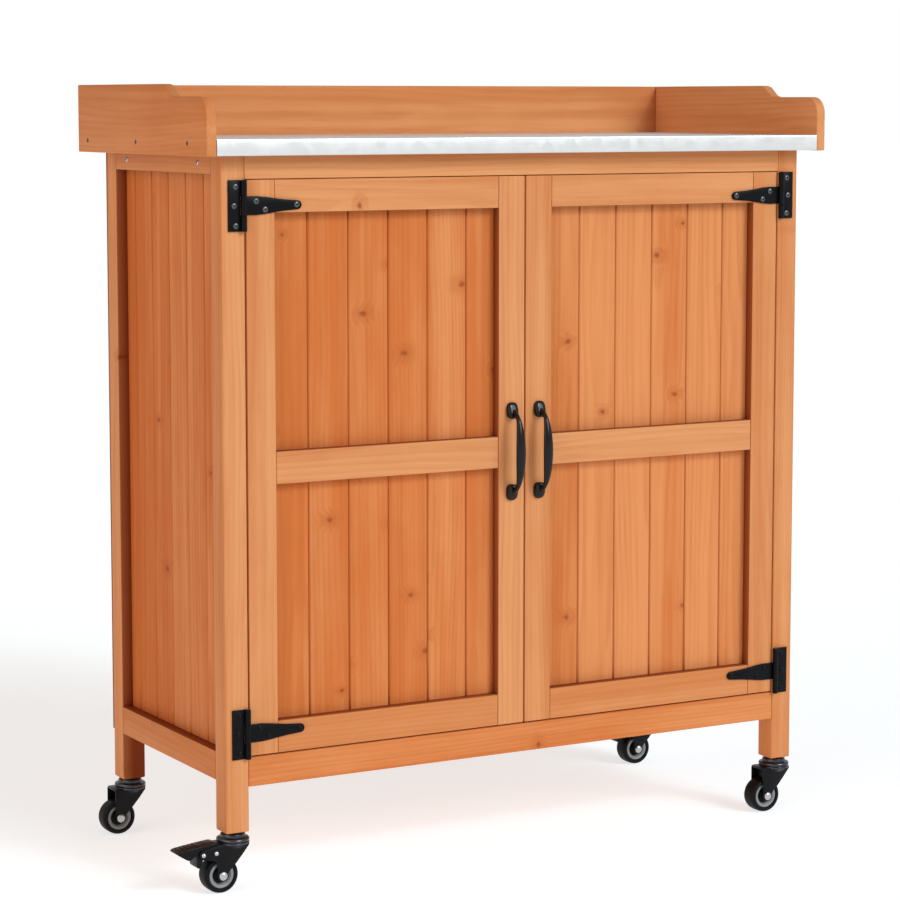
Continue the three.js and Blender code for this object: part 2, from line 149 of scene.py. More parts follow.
class Graph:
    """A material's node tree, with its Principled shader."""

    def __init__(self, name: str) -> None:
        """Makes an empty material with a shader and an output."""
        self.material = bpy.data.materials.new(name)
        self.material.use_nodes = True
        self.tree = self.material.node_tree
        self.tree.nodes.clear()
        self.shader = self.tree.nodes.new("ShaderNodeBsdfPrincipled")
        output = self.tree.nodes.new("ShaderNodeOutputMaterial")
        self.tree.links.new(self.shader.outputs[0], output.inputs["Surface"])

    def feed(self, target: bpy.types.NodeSocket, value: object) -> None:
        """Links a socket or sets a plain value on an input."""
        if isinstance(value, Sock):
            self.tree.links.new(value.socket, target)
        elif isinstance(value, tuple) and target.type == "RGBA":
            target.default_value = (*value[:3], 1.0)
        else:
            target.default_value = value

    def node(self, kind: str, settings: Optional[dict] = None, inputs: Optional[dict] = None,
             output: object = 0) -> Sock:
        """Adds any node.

        Args:
            kind: The node's type.
            settings: Its properties, set first; `stops` sets a ramp's stops.
            inputs: Values or sockets by input name or index.
            output: The name or index of the output to return.

        Returns:
            The chosen output, ready for expressions.
        """
        made = self.tree.nodes.new(kind)
        for key, value in (settings or {}).items():
            if key == "stops":
                self._set_stops(made.color_ramp, value)
            else:
                setattr(made, key, value)
        for key, value in (inputs or {}).items():
            self.feed(made.inputs[key], value)
        return Sock(self, made.outputs[output])

    @staticmethod
    def _set_stops(ramp: bpy.types.ColorRamp, stops: Sequence[tuple[float, Colour]]) -> None:
        """Gives a ramp its stops."""
        while len(ramp.elements) < len(stops):
            ramp.elements.new(1.0)
        for element, (place, colour) in zip(ramp.elements, stops):
            element.position = place
            element.color = (*colour, 1.0)

    def set(self, **values: object) -> None:
        """Feeds inputs of the Principled shader; underscores stand for spaces in their names."""
        for key, value in values.items():
            self.feed(self.shader.inputs[key.replace("_", " ")], value)

    def mix(self, factor: object, first: object, second: object, blend: str = "MIX") -> Sock:
        """Mixes two colours.

        Args:
            factor: Share of the second colour.
            first: Colour or socket.
            second: Colour or socket.
            blend: The blending mode.

        Returns:
            The mixed colour.
        """
        settings = {"data_type": "RGBA", "blend_type": blend, "clamp_factor": True}
        return self.node("ShaderNodeMix", settings, {0: factor, 6: first, 7: second}, 2)

    def scaled(self, vector: Sock, scale: tuple[float, float, float],
               shift: tuple[float, float, float] = (0.0, 0.0, 0.0)) -> Sock:
        """A vector scaled and shifted on each axis."""
        settings = {"operation": "MULTIPLY_ADD"}
        return self.node("ShaderNodeVectorMath", settings, {0: vector, 1: scale, 2: shift})

    def noise(self, vector: Sock, scale: float, detail: float = 2.0, roughness: float = 0.5) -> Sock:
        """A noise value from zero to one at a place."""
        inputs = {"Vector": vector, "Scale": scale, "Detail": detail, "Roughness": roughness}
        return self.node("ShaderNodeTexNoise", {}, inputs, 0)

    def bump(self, height: Sock, strength: float, distance: float) -> None:
        """Feeds the shader's normal from a height value."""
        made = self.node("ShaderNodeBump", {}, {"Strength": strength, "Distance": distance, "Height": height})
        self.set(Normal=made)

    def place(self) -> Sock:
        """Object coordinates."""
        return self.node("ShaderNodeTexCoord", {}, {}, "Object")

    def split(self, vector: Sock) -> tuple[Sock, Sock, Sock]:
        """A vector's three parts."""
        made = self.node("ShaderNodeSeparateXYZ", {}, {0: vector}).socket.node
        return tuple(Sock(self, made.outputs[index]) for index in range(3))

    def join(self, x: object, y: object, z: object) -> Sock:
        """A vector from three values."""
        return self.node("ShaderNodeCombineXYZ", {}, {0: x, 1: y, 2: z})


# ---------------------------------------------------------------------------
# Finishes
# ---------------------------------------------------------------------------


@dataclass(frozen=True)
class WoodFinish:
    """Stained softwood with growth rings, streaks, fibre and knots.

    The pattern lies in each board's own frame, which its `grain` attribute holds: across the board,
    through it and along it, in metres. `tone` shifts a board between its pale and its warm colour, and
    `stain` paints shade on it where it looks into a recess.
    """

    name: str
    pale: Colour
    warm: Colour
    late: Colour
    # painted shade: the dark colour mixed in on faces that look into a recess, not a colour of the wood
    pooled: Colour = (0.200, 0.036, 0.008)
    knot: Colour = (0.300, 0.072, 0.020)
    ring: float = 0.0052
    ring_depth: float = 0.18
    knot_cell: float = 0.115
    knot_share: float = 0.16
    roughness: float = 0.52

    def build(self) -> bpy.types.Material:
        """Makes the material."""
        graph = Graph(self.name)
        grain = graph.node("ShaderNodeAttribute", {"attribute_name": "grain"}, {}, "Vector")
        tone = graph.node("ShaderNodeAttribute", {"attribute_name": "tone"}, {}, "Fac")
        stain = graph.node("ShaderNodeAttribute", {"attribute_name": "stain"}, {}, "Fac")
        distance, size, chosen = self._knots(graph, grain)
        core = (1.0 - distance.step(size * 0.2, size)) * chosen
        halo = (1.0 - distance.step(size * 0.6, size * 3.6)) * chosen
        late = self._rings(graph, grain, halo)
        streak = graph.noise(graph.scaled(grain, (75.0, 75.0, 2.0)), 1.0, 3.0, 0.6)
        broad = graph.noise(graph.scaled(grain, (20.0, 20.0, 1.6), (3.0, 1.0, 7.0)), 1.0, 2.0)
        blotch = graph.noise(graph.scaled(grain, (26.0, 26.0, 9.0), (9.0, 4.0, 2.0)), 1.0, 3.0, 0.6)
        fibre = graph.noise(graph.scaled(grain, (800.0, 800.0, 14.0)), 1.0, 2.0, 0.6)

        band = graph.noise(graph.scaled(grain, (52.0, 52.0, 0.9), (5.0, 2.0, 1.0)), 1.0, 2.0)
        share = (tone + (broad - 0.5) * 1.3 + (band - 0.5) * 1.1 + (blotch - 0.5) * 0.6).step(0.0, 1.0)
        body = graph.mix(share, self.pale, self.warm)
        darkness = late * self.ring_depth + (streak - 0.45) * 0.8 + (fibre - 0.5) * 0.3
        body = graph.mix(darkness, body, self.late)
        body = graph.mix(halo * 0.34, body, self.late)
        body = graph.mix(core * 0.85, body, self.knot)
        # painted shade: faces that look into a recess are darkened towards the shade colour
        body = graph.mix(stain, body, self.pooled)
        roughness = self.roughness + (fibre - 0.5) * 0.16 + late * 0.05
        graph.set(Base_Color=body, Roughness=roughness, Specular_IOR_Level=0.05)
        graph.bump(late * 0.25 + fibre * 0.5 + streak * 0.4 - core * 0.6, 0.2, 0.0006)
        return graph.material

    def _knots(self, graph: Graph, grain: Sock) -> tuple[Sock, Sock, Sock]:
        """Places knots.

        Args:
            graph: The material's graph.
            grain: The board's own coordinates.

        Returns:
            The distance to the nearest knot in metres, its radius, and one where a knot is grown.
        """
        across, _, along = graph.split(grain)
        wobble = graph.noise(graph.scaled(grain, (110.0, 110.0, 110.0)), 1.0, 2.0) - 0.5
        flat = graph.join(across * 0.6 + wobble * 0.005, along * 0.8 + wobble * 0.004, 0.0)
        settings = {"voronoi_dimensions": "2D", "feature": "F1"}
        inputs = {"Vector": flat, "Scale": 1.0 / self.knot_cell, "Randomness": 1.0}
        distance = graph.node("ShaderNodeTexVoronoi", settings, inputs, "Distance")
        colour = Sock(graph, distance.socket.node.outputs["Color"])
        chance, girth, _ = graph.split(colour)
        size = girth * 0.0026 + 0.0026
        return distance * self.knot_cell, size, chance.above(1.0 - self.knot_share)

    def _rings(self, graph: Graph, grain: Sock, halo: Sock) -> Sock:
        """Growth rings about a pith that runs along the board, pushed aside by knots.

        Args:
            graph: The material's graph.
            grain: The board's own coordinates.
            halo: One near a knot, zero away from it.

        Returns:
            The share of dark late wood.
        """
        across, through, _ = graph.split(grain)
        reach = (across * across + through * through) ** 0.5
        drift = graph.noise(graph.scaled(grain, (9.0, 9.0, 1.25)), 1.0, 2.0, 0.45) - 0.5
        ripple = graph.noise(graph.scaled(grain, (60.0, 60.0, 6.0)), 1.0, 1.0) - 0.5
        place = (reach + drift * 0.034 + ripple * 0.0030 + halo * 0.007) / self.ring
        turn = place.fract()
        return turn.step(0.2, 0.9) * (1.0 - turn.step(0.9, 1.0))


@dataclass(frozen=True)
class SheetSteel:
    """Light grey zinc-coated sheet with faint spangle and rolling marks."""

    name: str
    base: Colour = (0.67, 0.675, 0.67)
    roughness: float = 0.34

    def build(self) -> bpy.types.Material:
        """Makes the material."""
        graph = Graph(self.name)
        place = graph.place()
        spangle_node = graph.node("ShaderNodeTexVoronoi", {"feature": "F1"},
                                  {"Vector": place, "Scale": 85.0}, "Color")
        spangle, tilt, _ = graph.split(spangle_node)
        rolled = graph.noise(graph.scaled(place, (6.0, 260.0, 260.0)), 1.0, 3.0, 0.6)
        cloud = graph.noise(place, 7.0, 2.0)
        lighter = tuple(1.16 * part for part in self.base)
        darker = tuple(0.86 * part for part in self.base)
        bright = graph.mix(spangle * 0.22 + cloud * 0.3, self.base, lighter)
        graph.set(Base_Color=graph.mix((rolled - 0.4) * 0.25, bright, darker))
        graph.set(Roughness=self.roughness + (tilt - 0.5) * 0.08 + (rolled - 0.5) * 0.12, Metallic=0.92)
        graph.bump(rolled * 0.6 + cloud * 0.4, 0.08, 0.0004)
        return graph.material


@dataclass(frozen=True)
class CoatedMetal:
    """Painted, plated or moulded finish: a colour with fine orange peel and worn, paler high spots."""

    name: str
    base: Colour
    worn: Colour
    roughness: float = 0.38
    metallic: float = 0.0
    specular: float = 0.4
    peel: float = 900.0

    def build(self) -> bpy.types.Material:
        """Makes the material."""
        graph = Graph(self.name)
        place = graph.place()
        peel = graph.noise(place, self.peel, 2.0)
        cloud = graph.noise(place, 38.0, 3.0, 0.6)
        edge = graph.node("ShaderNodeNewGeometry", {}, {}, "Pointiness").step(0.52, 0.6)
        wear = edge * 0.3 + (cloud - 0.5) * 0.5
        graph.set(Base_Color=graph.mix(wear, self.base, self.worn))
        graph.set(Roughness=self.roughness + (cloud - 0.5) * 0.16 + (peel - 0.5) * 0.08)
        graph.set(Metallic=self.metallic, Specular_IOR_Level=self.specular)
        graph.bump(peel * 0.6 + cloud * 0.4, 0.12, 0.0002)
        return graph.material


class Finishes:
    """Every finish on the bench, made once."""

    def __init__(self) -> None:
        """Builds the materials."""
        self.frame = WoodFinish("stained_fir_frame", (0.695, 0.308, 0.128), (0.600, 0.218, 0.075),
                                (0.470, 0.135, 0.035)).build()
        self.plank = WoodFinish("stained_fir_planks", (0.700, 0.270, 0.098), (0.590, 0.165, 0.042),
                                (0.440, 0.098, 0.018), knot_share=0.45).build()
        # The boards inside the cabinet take a darker copy of the frame wood: painted shade.
        self.inner = WoodFinish("stained_fir_inside", (0.560, 0.245, 0.105), (0.480, 0.170, 0.060),
                                (0.360, 0.105, 0.032)).build()
        self.steel = SheetSteel("zinc_sheet").build()
        self.hinge = CoatedMetal("hinge_black", (0.002, 0.002, 0.003), (0.006, 0.006, 0.007), 0.36,
                                 specular=0.11).build()
        self.handle = CoatedMetal("handle_black", (0.002, 0.002, 0.003), (0.005, 0.005, 0.007), 0.2,
                                  specular=0.28).build()
        self.fork = CoatedMetal("fork_black", (0.002, 0.002, 0.003), (0.009, 0.009, 0.011), 0.3,
                                specular=0.16).build()
        self.zinc = CoatedMetal("zinc_plate", (0.46, 0.47, 0.48), (0.62, 0.63, 0.65), 0.3, 0.95).build()
        self.dark_zinc = CoatedMetal("dark_plate", (0.055, 0.057, 0.066), (0.14, 0.145, 0.16), 0.2,
                                     0.9).build()
        self.screw = CoatedMetal("screw_plate", (0.10, 0.105, 0.105), (0.19, 0.20, 0.20), 0.3, 0.9).build()
        self.brown = CoatedMetal("stained_screw", (0.19, 0.065, 0.028), (0.26, 0.10, 0.05), 0.5).build()
        self.rubber = CoatedMetal("tyre_rubber", (0.003, 0.003, 0.003), (0.009, 0.009, 0.009), 0.5,
                                  specular=0.13, peel=500.0).build()
        self.hub = CoatedMetal("hub_grey", (0.23, 0.235, 0.24), (0.32, 0.325, 0.33), 0.42,
                               specular=0.3).build()
        self.recess = CoatedMetal("screw_recess", (0.010, 0.010, 0.010), (0.016, 0.016, 0.016), 0.6,
                                  specular=0.1).build()


# ---------------------------------------------------------------------------
# Mesh building
# ---------------------------------------------------------------------------


class Piece:
    """One named piece under construction.

    Every shape is added in metres in the row frame. Wooden shapes carry the `grain` and `tone` attributes
    that the wood finishes read.
    """

    def __init__(self, name: str) -> None:
        """Starts an empty piece."""
        self.name = name
        self.mesh = bmesh.new()
        self.grain = self.mesh.verts.layers.float_vector.new("grain")
        self.tone = self.mesh.verts.layers.float.new("tone")
        # painted shade on faces that look into a recess, per face corner
        self.stain = self.mesh.loops.layers.float.new("stain")
        self.materials: list[bpy.types.Material] = []
        self.random = random.Random(name)

    def _mark(self) -> tuple[set, set]:
        """Remembers what is there, so that the next shape can be told apart."""
        return set(self.mesh.verts), set(self.mesh.faces)

    def _dress(self, before: tuple[set, set], material: bpy.types.Material, smooth: bool) -> list:
        """Gives new faces a material and shading, and returns the new vertices."""
        if material not in self.materials:
            self.materials.append(material)
        for face in self.mesh.faces:
            if face not in before[1]:
                face.material_index = self.materials.index(material)
                face.smooth = smooth
        return [vertex for vertex in self.mesh.verts if vertex not in before[0]]

    def _soften(self, edges: Iterable, width: float, segments: int) -> None:
        """Rounds edges."""
        if width > 0.0:
            bmesh.ops.bevel(self.mesh, geom=list(edges), offset=width, offset_type="OFFSET",
                            segments=segments, profile=0.5, affect="EDGES", clamp_overlap=True, material=-1)

    def _sharp_edges(self, before: tuple[set, set], angle: float = 30.0) -> list:
        """New edges that turn by more than an angle."""
        limit = math.radians(angle)
        edges = dict.fromkeys(edge for face in self.mesh.faces if face not in before[1]
                              for edge in face.edges)
        return [edge for edge in edges if len(edge.link_faces) == 2 and edge.calc_face_angle(0.0) > limit]

    def box(self, low: Vector, high: Vector, material: bpy.types.Material, soften: float = 0.6 * MM,
            segments: int = 2, smooth: bool = False) -> list:
        """Adds a box with softened edges.

        Args:
            low: Lowest corner.
            high: Highest corner.
            material: Its finish.
            soften: Radius of its edges.
            segments: Steps round each edge.
            smooth: Whether its faces are shaded smooth.

        Returns:
            The new vertices.
        """
        before = self._mark()
        made = bmesh.ops.create_cube(self.mesh, size=1.0)["verts"]
        low, high = Vector(low), Vector(high)
        bmesh.ops.scale(self.mesh, vec=high - low, verts=made)
        bmesh.ops.translate(self.mesh, vec=(low + high) / 2, verts=made)
        edges = dict.fromkeys(edge for vertex in made for edge in vertex.link_edges)
        self._soften(edges, soften, segments)
        return self._dress(before, material, smooth)

    def prism(self, points: Sequence[Point2], axis: Axis, start: float, end: float,
              material: bpy.types.Material, soften: float = 0.0, segments: int = 2,
              smooth: bool = False) -> list:
        """Adds a flat outline carried along an axis.

        Args:
            points: The outline in the other two row axes, in X, Y, Z order.
            axis: The axis that the outline is carried along.
            start: Where it starts on that axis.
            end: Where it ends.
            material: Its finish.
            soften: Radius of its edges.
            segments: Steps round each edge.
            smooth: Whether its faces are shaded smooth.

        Returns:
            The new vertices.
        """
        before = self._mark()
        corners = []
        for first, second in points:
            place = [first, second]
            place.insert(axis.value, start)
            corners.append(self.mesh.verts.new(place))
        face = self.mesh.faces.new(corners)
        made = bmesh.ops.extrude_face_region(self.mesh, geom=[face])["geom"]
        travel = Vector((0.0, 0.0, 0.0))
        travel[axis.value] = end - start
        moved = [item for item in made if isinstance(item, bmesh.types.BMVert)]
        bmesh.ops.translate(self.mesh, vec=travel, verts=moved)
        new_faces = [item for item in self.mesh.faces if item not in before[1]]
        bmesh.ops.recalc_face_normals(self.mesh, faces=new_faces)
        if soften > 0.0:
            self._soften(self._sharp_edges(before), soften, segments)
        return self._dress(before, material, smooth)

    def lathe(self, profile: Sequence[Point2], centre: Vector, axis: Vector, material: bpy.types.Material,
              steps: int = 32) -> list:
        """Adds a turned shape.

        Args:
            profile: Radius and height pairs, from one end to the other.
            centre: Where the axis passes at height zero.
            axis: Direction of growing height.
            material: Its finish.
            steps: Steps round the axis.

        Returns:
            The new vertices.
        """
        before = self._mark()
        points = [self.mesh.verts.new((radius, 0.0, height)) for radius, height in profile]
        edges = [self.mesh.edges.new(pair) for pair in zip(points, points[1:])]
        bmesh.ops.spin(self.mesh, geom=points + edges, cent=(0, 0, 0), axis=(0, 0, 1), dvec=(0, 0, 0),
                       angle=math.tau, steps=steps, use_merge=True, use_normal_flip=False,
                       use_duplicate=False)
        made = [vertex for vertex in self.mesh.verts if vertex not in before[0]]
        bmesh.ops.remove_doubles(self.mesh, verts=made, dist=1e-7)
        faces = [face for face in self.mesh.faces if face not in before[1]]
        bmesh.ops.recalc_face_normals(self.mesh, faces=faces)
        made = [vertex for vertex in self.mesh.verts if vertex not in before[0]]
        turn = Vector((0, 0, 1)).rotation_difference(Vector(axis)).to_matrix().to_4x4()
        bmesh.ops.transform(self.mesh, matrix=Matrix.Translation(centre) @ turn, verts=made)
        return self._dress(before, material, True)

    def loft(self, rings: Sequence[Matrix], material: bpy.types.Material, sides: int = 20) -> list:
        """Adds a tube through a row of unit circles.

        Args:
            rings: Where each circle stands, how it is turned and how it is scaled.
            material: Its finish.
            sides: Corners of each circle.

        Returns:
            The new vertices.
        """
        before = self._mark()
        loops = []
        for place in rings:
            made = bmesh.ops.create_circle(self.mesh, cap_ends=False, segments=sides, radius=1.0,
                                           matrix=place)
            loops.append(made["verts"])
        for first, second in zip(loops, loops[1:]):
            pair = dict.fromkeys(edge for vertex in first + second for edge in vertex.link_edges
                                 if edge.is_wire or edge.is_boundary)
            bmesh.ops.bridge_loops(self.mesh, edges=list(pair))
        for loop in (loops[0], loops[-1]):
            self.mesh.faces.new(loop)
        faces = [face for face in self.mesh.faces if face not in before[1]]
        bmesh.ops.recalc_face_normals(self.mesh, faces=faces)
        return self._dress(before, material, True)

    def board(self, low: Vector, high: Vector, along: Axis, material: bpy.types.Material, tone: float,
              soften: float = 1.0 * MM, segments: int = 2) -> list:
        """Adds a wooden board with its own grain.

        Args:
            low: Lowest corner.
            high: Highest corner.
            along: The axis that the grain follows.
            material: A wood finish.
            tone: From zero for pale to one for warm.
            soften: Radius of its edges.
            segments: Steps round each edge.

        Returns:
            The new vertices.
        """
        made = self.box(low, high, material, soften, segments)
        self.grow(made, along, tone)
        return made

    def pool(self, vertices: Iterable, facing: Vector, axis: Axis, clean: float, stained: float,
             shares: tuple[float, float] = (0.65, 1.0)) -> None:
        """Paints shade on the faces of a board that look into a recess.

        Args:
            vertices: The board's vertices.
            facing: The direction that those faces look in.
            axis: The axis that runs into the recess.
            clean: Where on it the recess, and its painted shade, starts.
            stained: Where on it the recess, and its painted shade, is deepest.
            shares: Share of the painted shade colour at those two places.
        """
        for face in dict.fromkeys(face for vertex in vertices for face in vertex.link_faces):
            face.normal_update()
            if face.normal.dot(facing) < 0.7:
                continue
            for loop in face.loops:
                share = (loop.vert.co[axis.value] - clean) / (stained - clean)
                loop[self.stain] = shares[0] + (shares[1] - shares[0]) * share

    def grow(self, vertices: Sequence, along: Axis, tone: float) -> None:
        """Writes the grain frame and the tone of one board.

        Args:
            vertices: The board's vertices.
            along: The axis that the grain follows.
            tone: From zero for pale to one for warm.
        """
        lows = [min(vertex.co[index] for vertex in vertices) for index in range(3)]
        highs = [max(vertex.co[index] for vertex in vertices) for index in range(3)]
        others = [axis.value for axis in Axis if axis is not along]
        across, through = sorted(others, key=lambda index: lows[index] - highs[index])
        middle = (lows[across] + highs[across]) / 2
        pith = self.random.uniform(-0.07, 0.07)
        depth = self.random.uniform(0.03, 0.10)
        start = self.random.uniform(0.0, 40.0)
        flip = self.random.choice((-1.0, 1.0))
        for vertex in vertices:
            place = vertex.co
            vertex[self.grain] = Vector((flip * (place[across] - middle) + pith,
                                         place[through] - lows[through] + depth,
                                         place[along.value] + start))
            vertex[self.tone] = tone

    def finish(self, body: str, slot: str, nodes: Sequence[str] = ()) -> bpy.types.Object:
        """Turns the piece into an object that rides on a CAD body.

        Args:
            body: The CAD body that it moves with.
            slot: The record's material slot; not used.
            nodes: CAD nodes that it stands for.

        Returns:
            The finished object.
        """
        data = bpy.data.meshes.new(self.name)
        self.mesh.to_mesh(data)
        self.mesh.free()
        data.set_sharp_from_angle(angle=math.radians(38.0))
        for material in self.materials:
            data.materials.append(material)
        made = bpy.data.objects.new(self.name, data)
        bpy.context.scene.collection.objects.link(made)
        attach(made, body)
        if nodes:
            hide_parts(*nodes)
        log.info("piece %s: %d faces on %s", self.name, len(data.polygons), body)
        return made


def tone_for(name: str, low: float = 0.15, high: float = 0.85) -> float:
    """A board's tone, always the same for the same name."""
    return random.Random(f"tone {name}").uniform(low, high)


def arc(centre: Point2, radius: float, start: float, end: float, steps: int) -> list[Point2]:
    """Points on an arc.

    Args:
        centre: Its centre.
        radius: Its radius.
        start: First angle in degrees.
        end: Last angle in degrees.
        steps: Number of chords.

    Returns:
        The points, with both ends.
    """
    angles = [math.radians(start + (end - start) * index / steps) for index in range(steps + 1)]
    return [(centre[0] + radius * math.cos(angle), centre[1] + radius * math.sin(angle)) for angle in angles]


# ---------------------------------------------------------------------------
# Fasteners
# ---------------------------------------------------------------------------


@dataclass
class PanScrew:
    """A pan-head cross-recess screw."""

    radius: float = 4.1 * MM
    height: float = 1.5 * MM
    slot_length: float = 4.4 * MM
    slot_width: float = 0.9 * MM

    def add(self, piece: Piece, place: Vector, facing: Vector, head: bpy.types.Material,
            recess: bpy.types.Material) -> None:
        """Adds the head to a piece.

        Args:
            piece: The piece that it joins.
            place: The middle of its seat.
            facing: The direction that it faces, along a row axis.
            head: The head's finish.
            recess: The finish of the cross in it.
        """
        dome = [(self.radius, 0.0), (self.radius, self.height * 0.35),
                (self.radius * 0.82, self.height * 0.8), (self.radius * 0.45, self.height),
                (0.0, self.height)]
        piece.lathe(dome, place, facing, head, steps=20)
        normal = max(range(3), key=lambda index: abs(facing[index]))
        flat = [index for index in range(3) if index != normal]
        top = place + facing * self.height
        for long_axis, short_axis in (flat, flat[::-1]):
            half = Vector((0.0, 0.0, 0.0))
            half[long_axis] = self.slot_length / 2
            half[short_axis] = self.slot_width / 2
            half[normal] = 0.12 * MM
            piece.box(top - half, top + half, recess, 0.0)


# ---------------------------------------------------------------------------
# Woodwork
# ---------------------------------------------------------------------------


@dataclass
class Recess:
    """Where a board borders a recessed panel: which faces take painted shade there, and how deep it goes."""

    facing: tuple[float, float, float]
    axis: Axis
    clean: float
    stained: float


@dataclass
class Woodwork:
    """The frame, panels and inside boards of the cabinet."""

    finishes: Finishes
    edge: float = 1.0 * MM
    post_edge: float = 2.0 * MM
    groove: float = 0.5 * MM
    plank_edge: float = 1.9 * MM
    tongue: float = 1.5 * MM
    side_recess: float = 16.5 * MM
    hang: float = 0.9 * MM

    def single(self, node: str, along: Axis, body: str, slot: str, finish: bpy.types.Material,
               edge: Optional[float] = None, recess: Optional[Recess] = None,
               tone: Optional[float] = None, reach: float = 0.0) -> None:
        """Builds one plain board in the place of a CAD node.

        Args:
            node: The CAD node.
            along: The axis that its grain follows.
            body: The CAD body that it rides on.
            slot: Its material slot.
            finish: Its wood finish.
            edge: Radius of its edges, or None for the usual one.
            recess: The recess that it borders and whose painted shade it takes, if any.
            tone: Its tone, or None for one of its own.
            reach: How far it hangs below the node, to narrow a gap.
        """
        low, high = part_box(node)
        piece = Piece(f"{node}_wood")
        low = Vector(low) - Vector((0.0, 0.0, reach))
        tone = tone_for(node) if tone is None else tone
        made = piece.board(low, Vector(high), along, finish, tone, edge or self.edge, 3)
        # painted shade on the faces that look into the recess
        if recess:
            piece.pool(made, Vector(recess.facing), recess.axis, recess.clean, recess.stained)
        piece.finish(body, slot, [node])

    def planks(self, node: str, across: Axis, joints: Sequence[float], body: str, slot: str,
               finish: bpy.types.Material, tones: tuple[float, float] = (0.1, 0.9),
               tuck: float = 2.2 * MM) -> None:
        """Builds a panel of upright tongue-and-groove planks in the place of a CAD node.

        Args:
            node: The CAD node.
            across: The axis that the planks stand along.
            joints: Where the planks meet, from the panel's low edge, in millimetres.
            body: The CAD body that it rides on.
            slot: Its material slot.
            finish: Its wood finish.
            tones: The palest and the warmest tone among its planks.
            tuck: How far the panel reaches into the grooves of its frame.
        """
        low, high = (Vector(corner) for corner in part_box(node))
        through = Axis.Y if across is Axis.X else Axis.X
        for axis in (across, Axis.Z):
            low[axis.value] -= tuck
            high[axis.value] += tuck
        piece = Piece(f"{node}_planks")
        width = high[across.value] - low[across.value]
        stops = [0.0, *(tuck + joint * MM for joint in joints), width]
        for index, (start, end) in enumerate(zip(stops, stops[1:])):
            first, last = low.copy(), high.copy()
            first[across.value] = low[across.value] + start + (self.groove / 2 if index else 0.0)
            last[across.value] = low[across.value] + end - (self.groove / 2 if end < width else 0.0)
            tone = tone_for(f"{node} plank {index}", *tones)
            piece.board(first, last, Axis.Z, finish, tone, self.plank_edge, 1)
        middle = (low[through.value] + high[through.value]) / 2
        low[through.value] = middle - self.tongue / 2
        high[through.value] = middle + self.tongue / 2
        made = piece.board(low, high, Axis.Z, finish, 1.0, 0.0)
        # The tongue shows only in the grooves between planks; painted shade darkens it there.
        for way in (-1.0, 1.0):
            facing = Vector((0.0, 0.0, 0.0))
            facing[through.value] = way
            piece.pool(made, facing, Axis.Z, low.z, high.z, (0.85, 0.85))
        piece.finish(body, slot, [node])

    def build(self) -> None:
        """Builds everything wooden that is fixed to the cabinet, apart from the gallery."""
        wood, inner = self.finishes.frame, self.finishes.inner
        for end, way in (("front", 1.0), ("back", -1.0)):
            for side in Side:
                self.single(f"post_{end}_{side.word}", Axis.Z, "cabinet", "frame_wood", wood, self.post_edge,
                            self._side_recess(side, (0.0, way, 0.0)))
            for level, reach, tone, finish in (("top", self.hang, 0.2, wood),
                                               ("bottom", 0.0, 0.55, self.finishes.plank)):
                self.single(f"{end}_{level}_rail", Axis.X, "cabinet", "frame_wood", finish, tone=tone,
                            reach=reach)
        for side in Side:
            for level, way in (("top", -1.0), ("bottom", 1.0)):
                self.single(f"{side.word}_side_{level}_rail", Axis.Y, "cabinet", "frame_wood", wood,
                            recess=self._side_recess(side, (0.0, 0.0, way)))
            self.single(f"{side.word}_shelf_batten", Axis.Y, "cabinet", "inner_boards", inner)
            joints = [59.0 + 60.0 * index for index in range(5)]
            self.planks(f"{side.word}_side_panel", Axis.Y, joints, "cabinet", "panel_planks",
                        self.finishes.plank)
        self.planks("back_panel", Axis.X, [60.0 * index for index in range(1, 16)], "cabinet",
                    "inner_boards", inner, tuck=0.0)
        self.single("tabletop_board", Axis.X, "cabinet", "inner_boards", inner)
        self._flooring("cabinet_floor", 5)
        self._flooring("shelf", 5)

    def _side_recess(self, side: Side, facing: tuple[float, float, float]) -> Recess:
        """The recess of a side panel, as a post or rail borders it, for the shade painted on them."""
        low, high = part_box(f"post_front_{side.word}")
        outer = high[0] if side is Side.RIGHT else low[0]
        return Recess(facing, Axis.X, outer, outer - side.value * self.side_recess)

    def _flooring(self, node: str, count: int) -> None:
        """Builds a shelf or floor of boards that lie side by side.

        Args:
            node: The CAD node.
            count: Number of boards.
        """
        low, high = (Vector(corner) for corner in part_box(node))
        piece = Piece(f"{node}_boards")
        pitch = (high.y - low.y) / count
        joint = 0.25 * MM
        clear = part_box("post_front_right")[0][0] - joint
        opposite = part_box("post_front_left")[1][0] + joint
        for index in range(count):
            first = Vector((low.x, low.y + index * pitch + self.groove / 2, low.z))
            last = Vector((high.x, low.y + (index + 1) * pitch - self.groove / 2, high.z))
            if index in (0, count - 1):
                first.x = max(first.x, opposite)
                last.x = min(last.x, clear)
            tone = tone_for(f"{node} board {index}")
            piece.board(first, last, Axis.X, self.finishes.inner, tone, 0.8 * MM)
        piece.finish("cabinet", "inner_boards", [node])


# ---------------------------------------------------------------------------
# Worktop
# ---------------------------------------------------------------------------


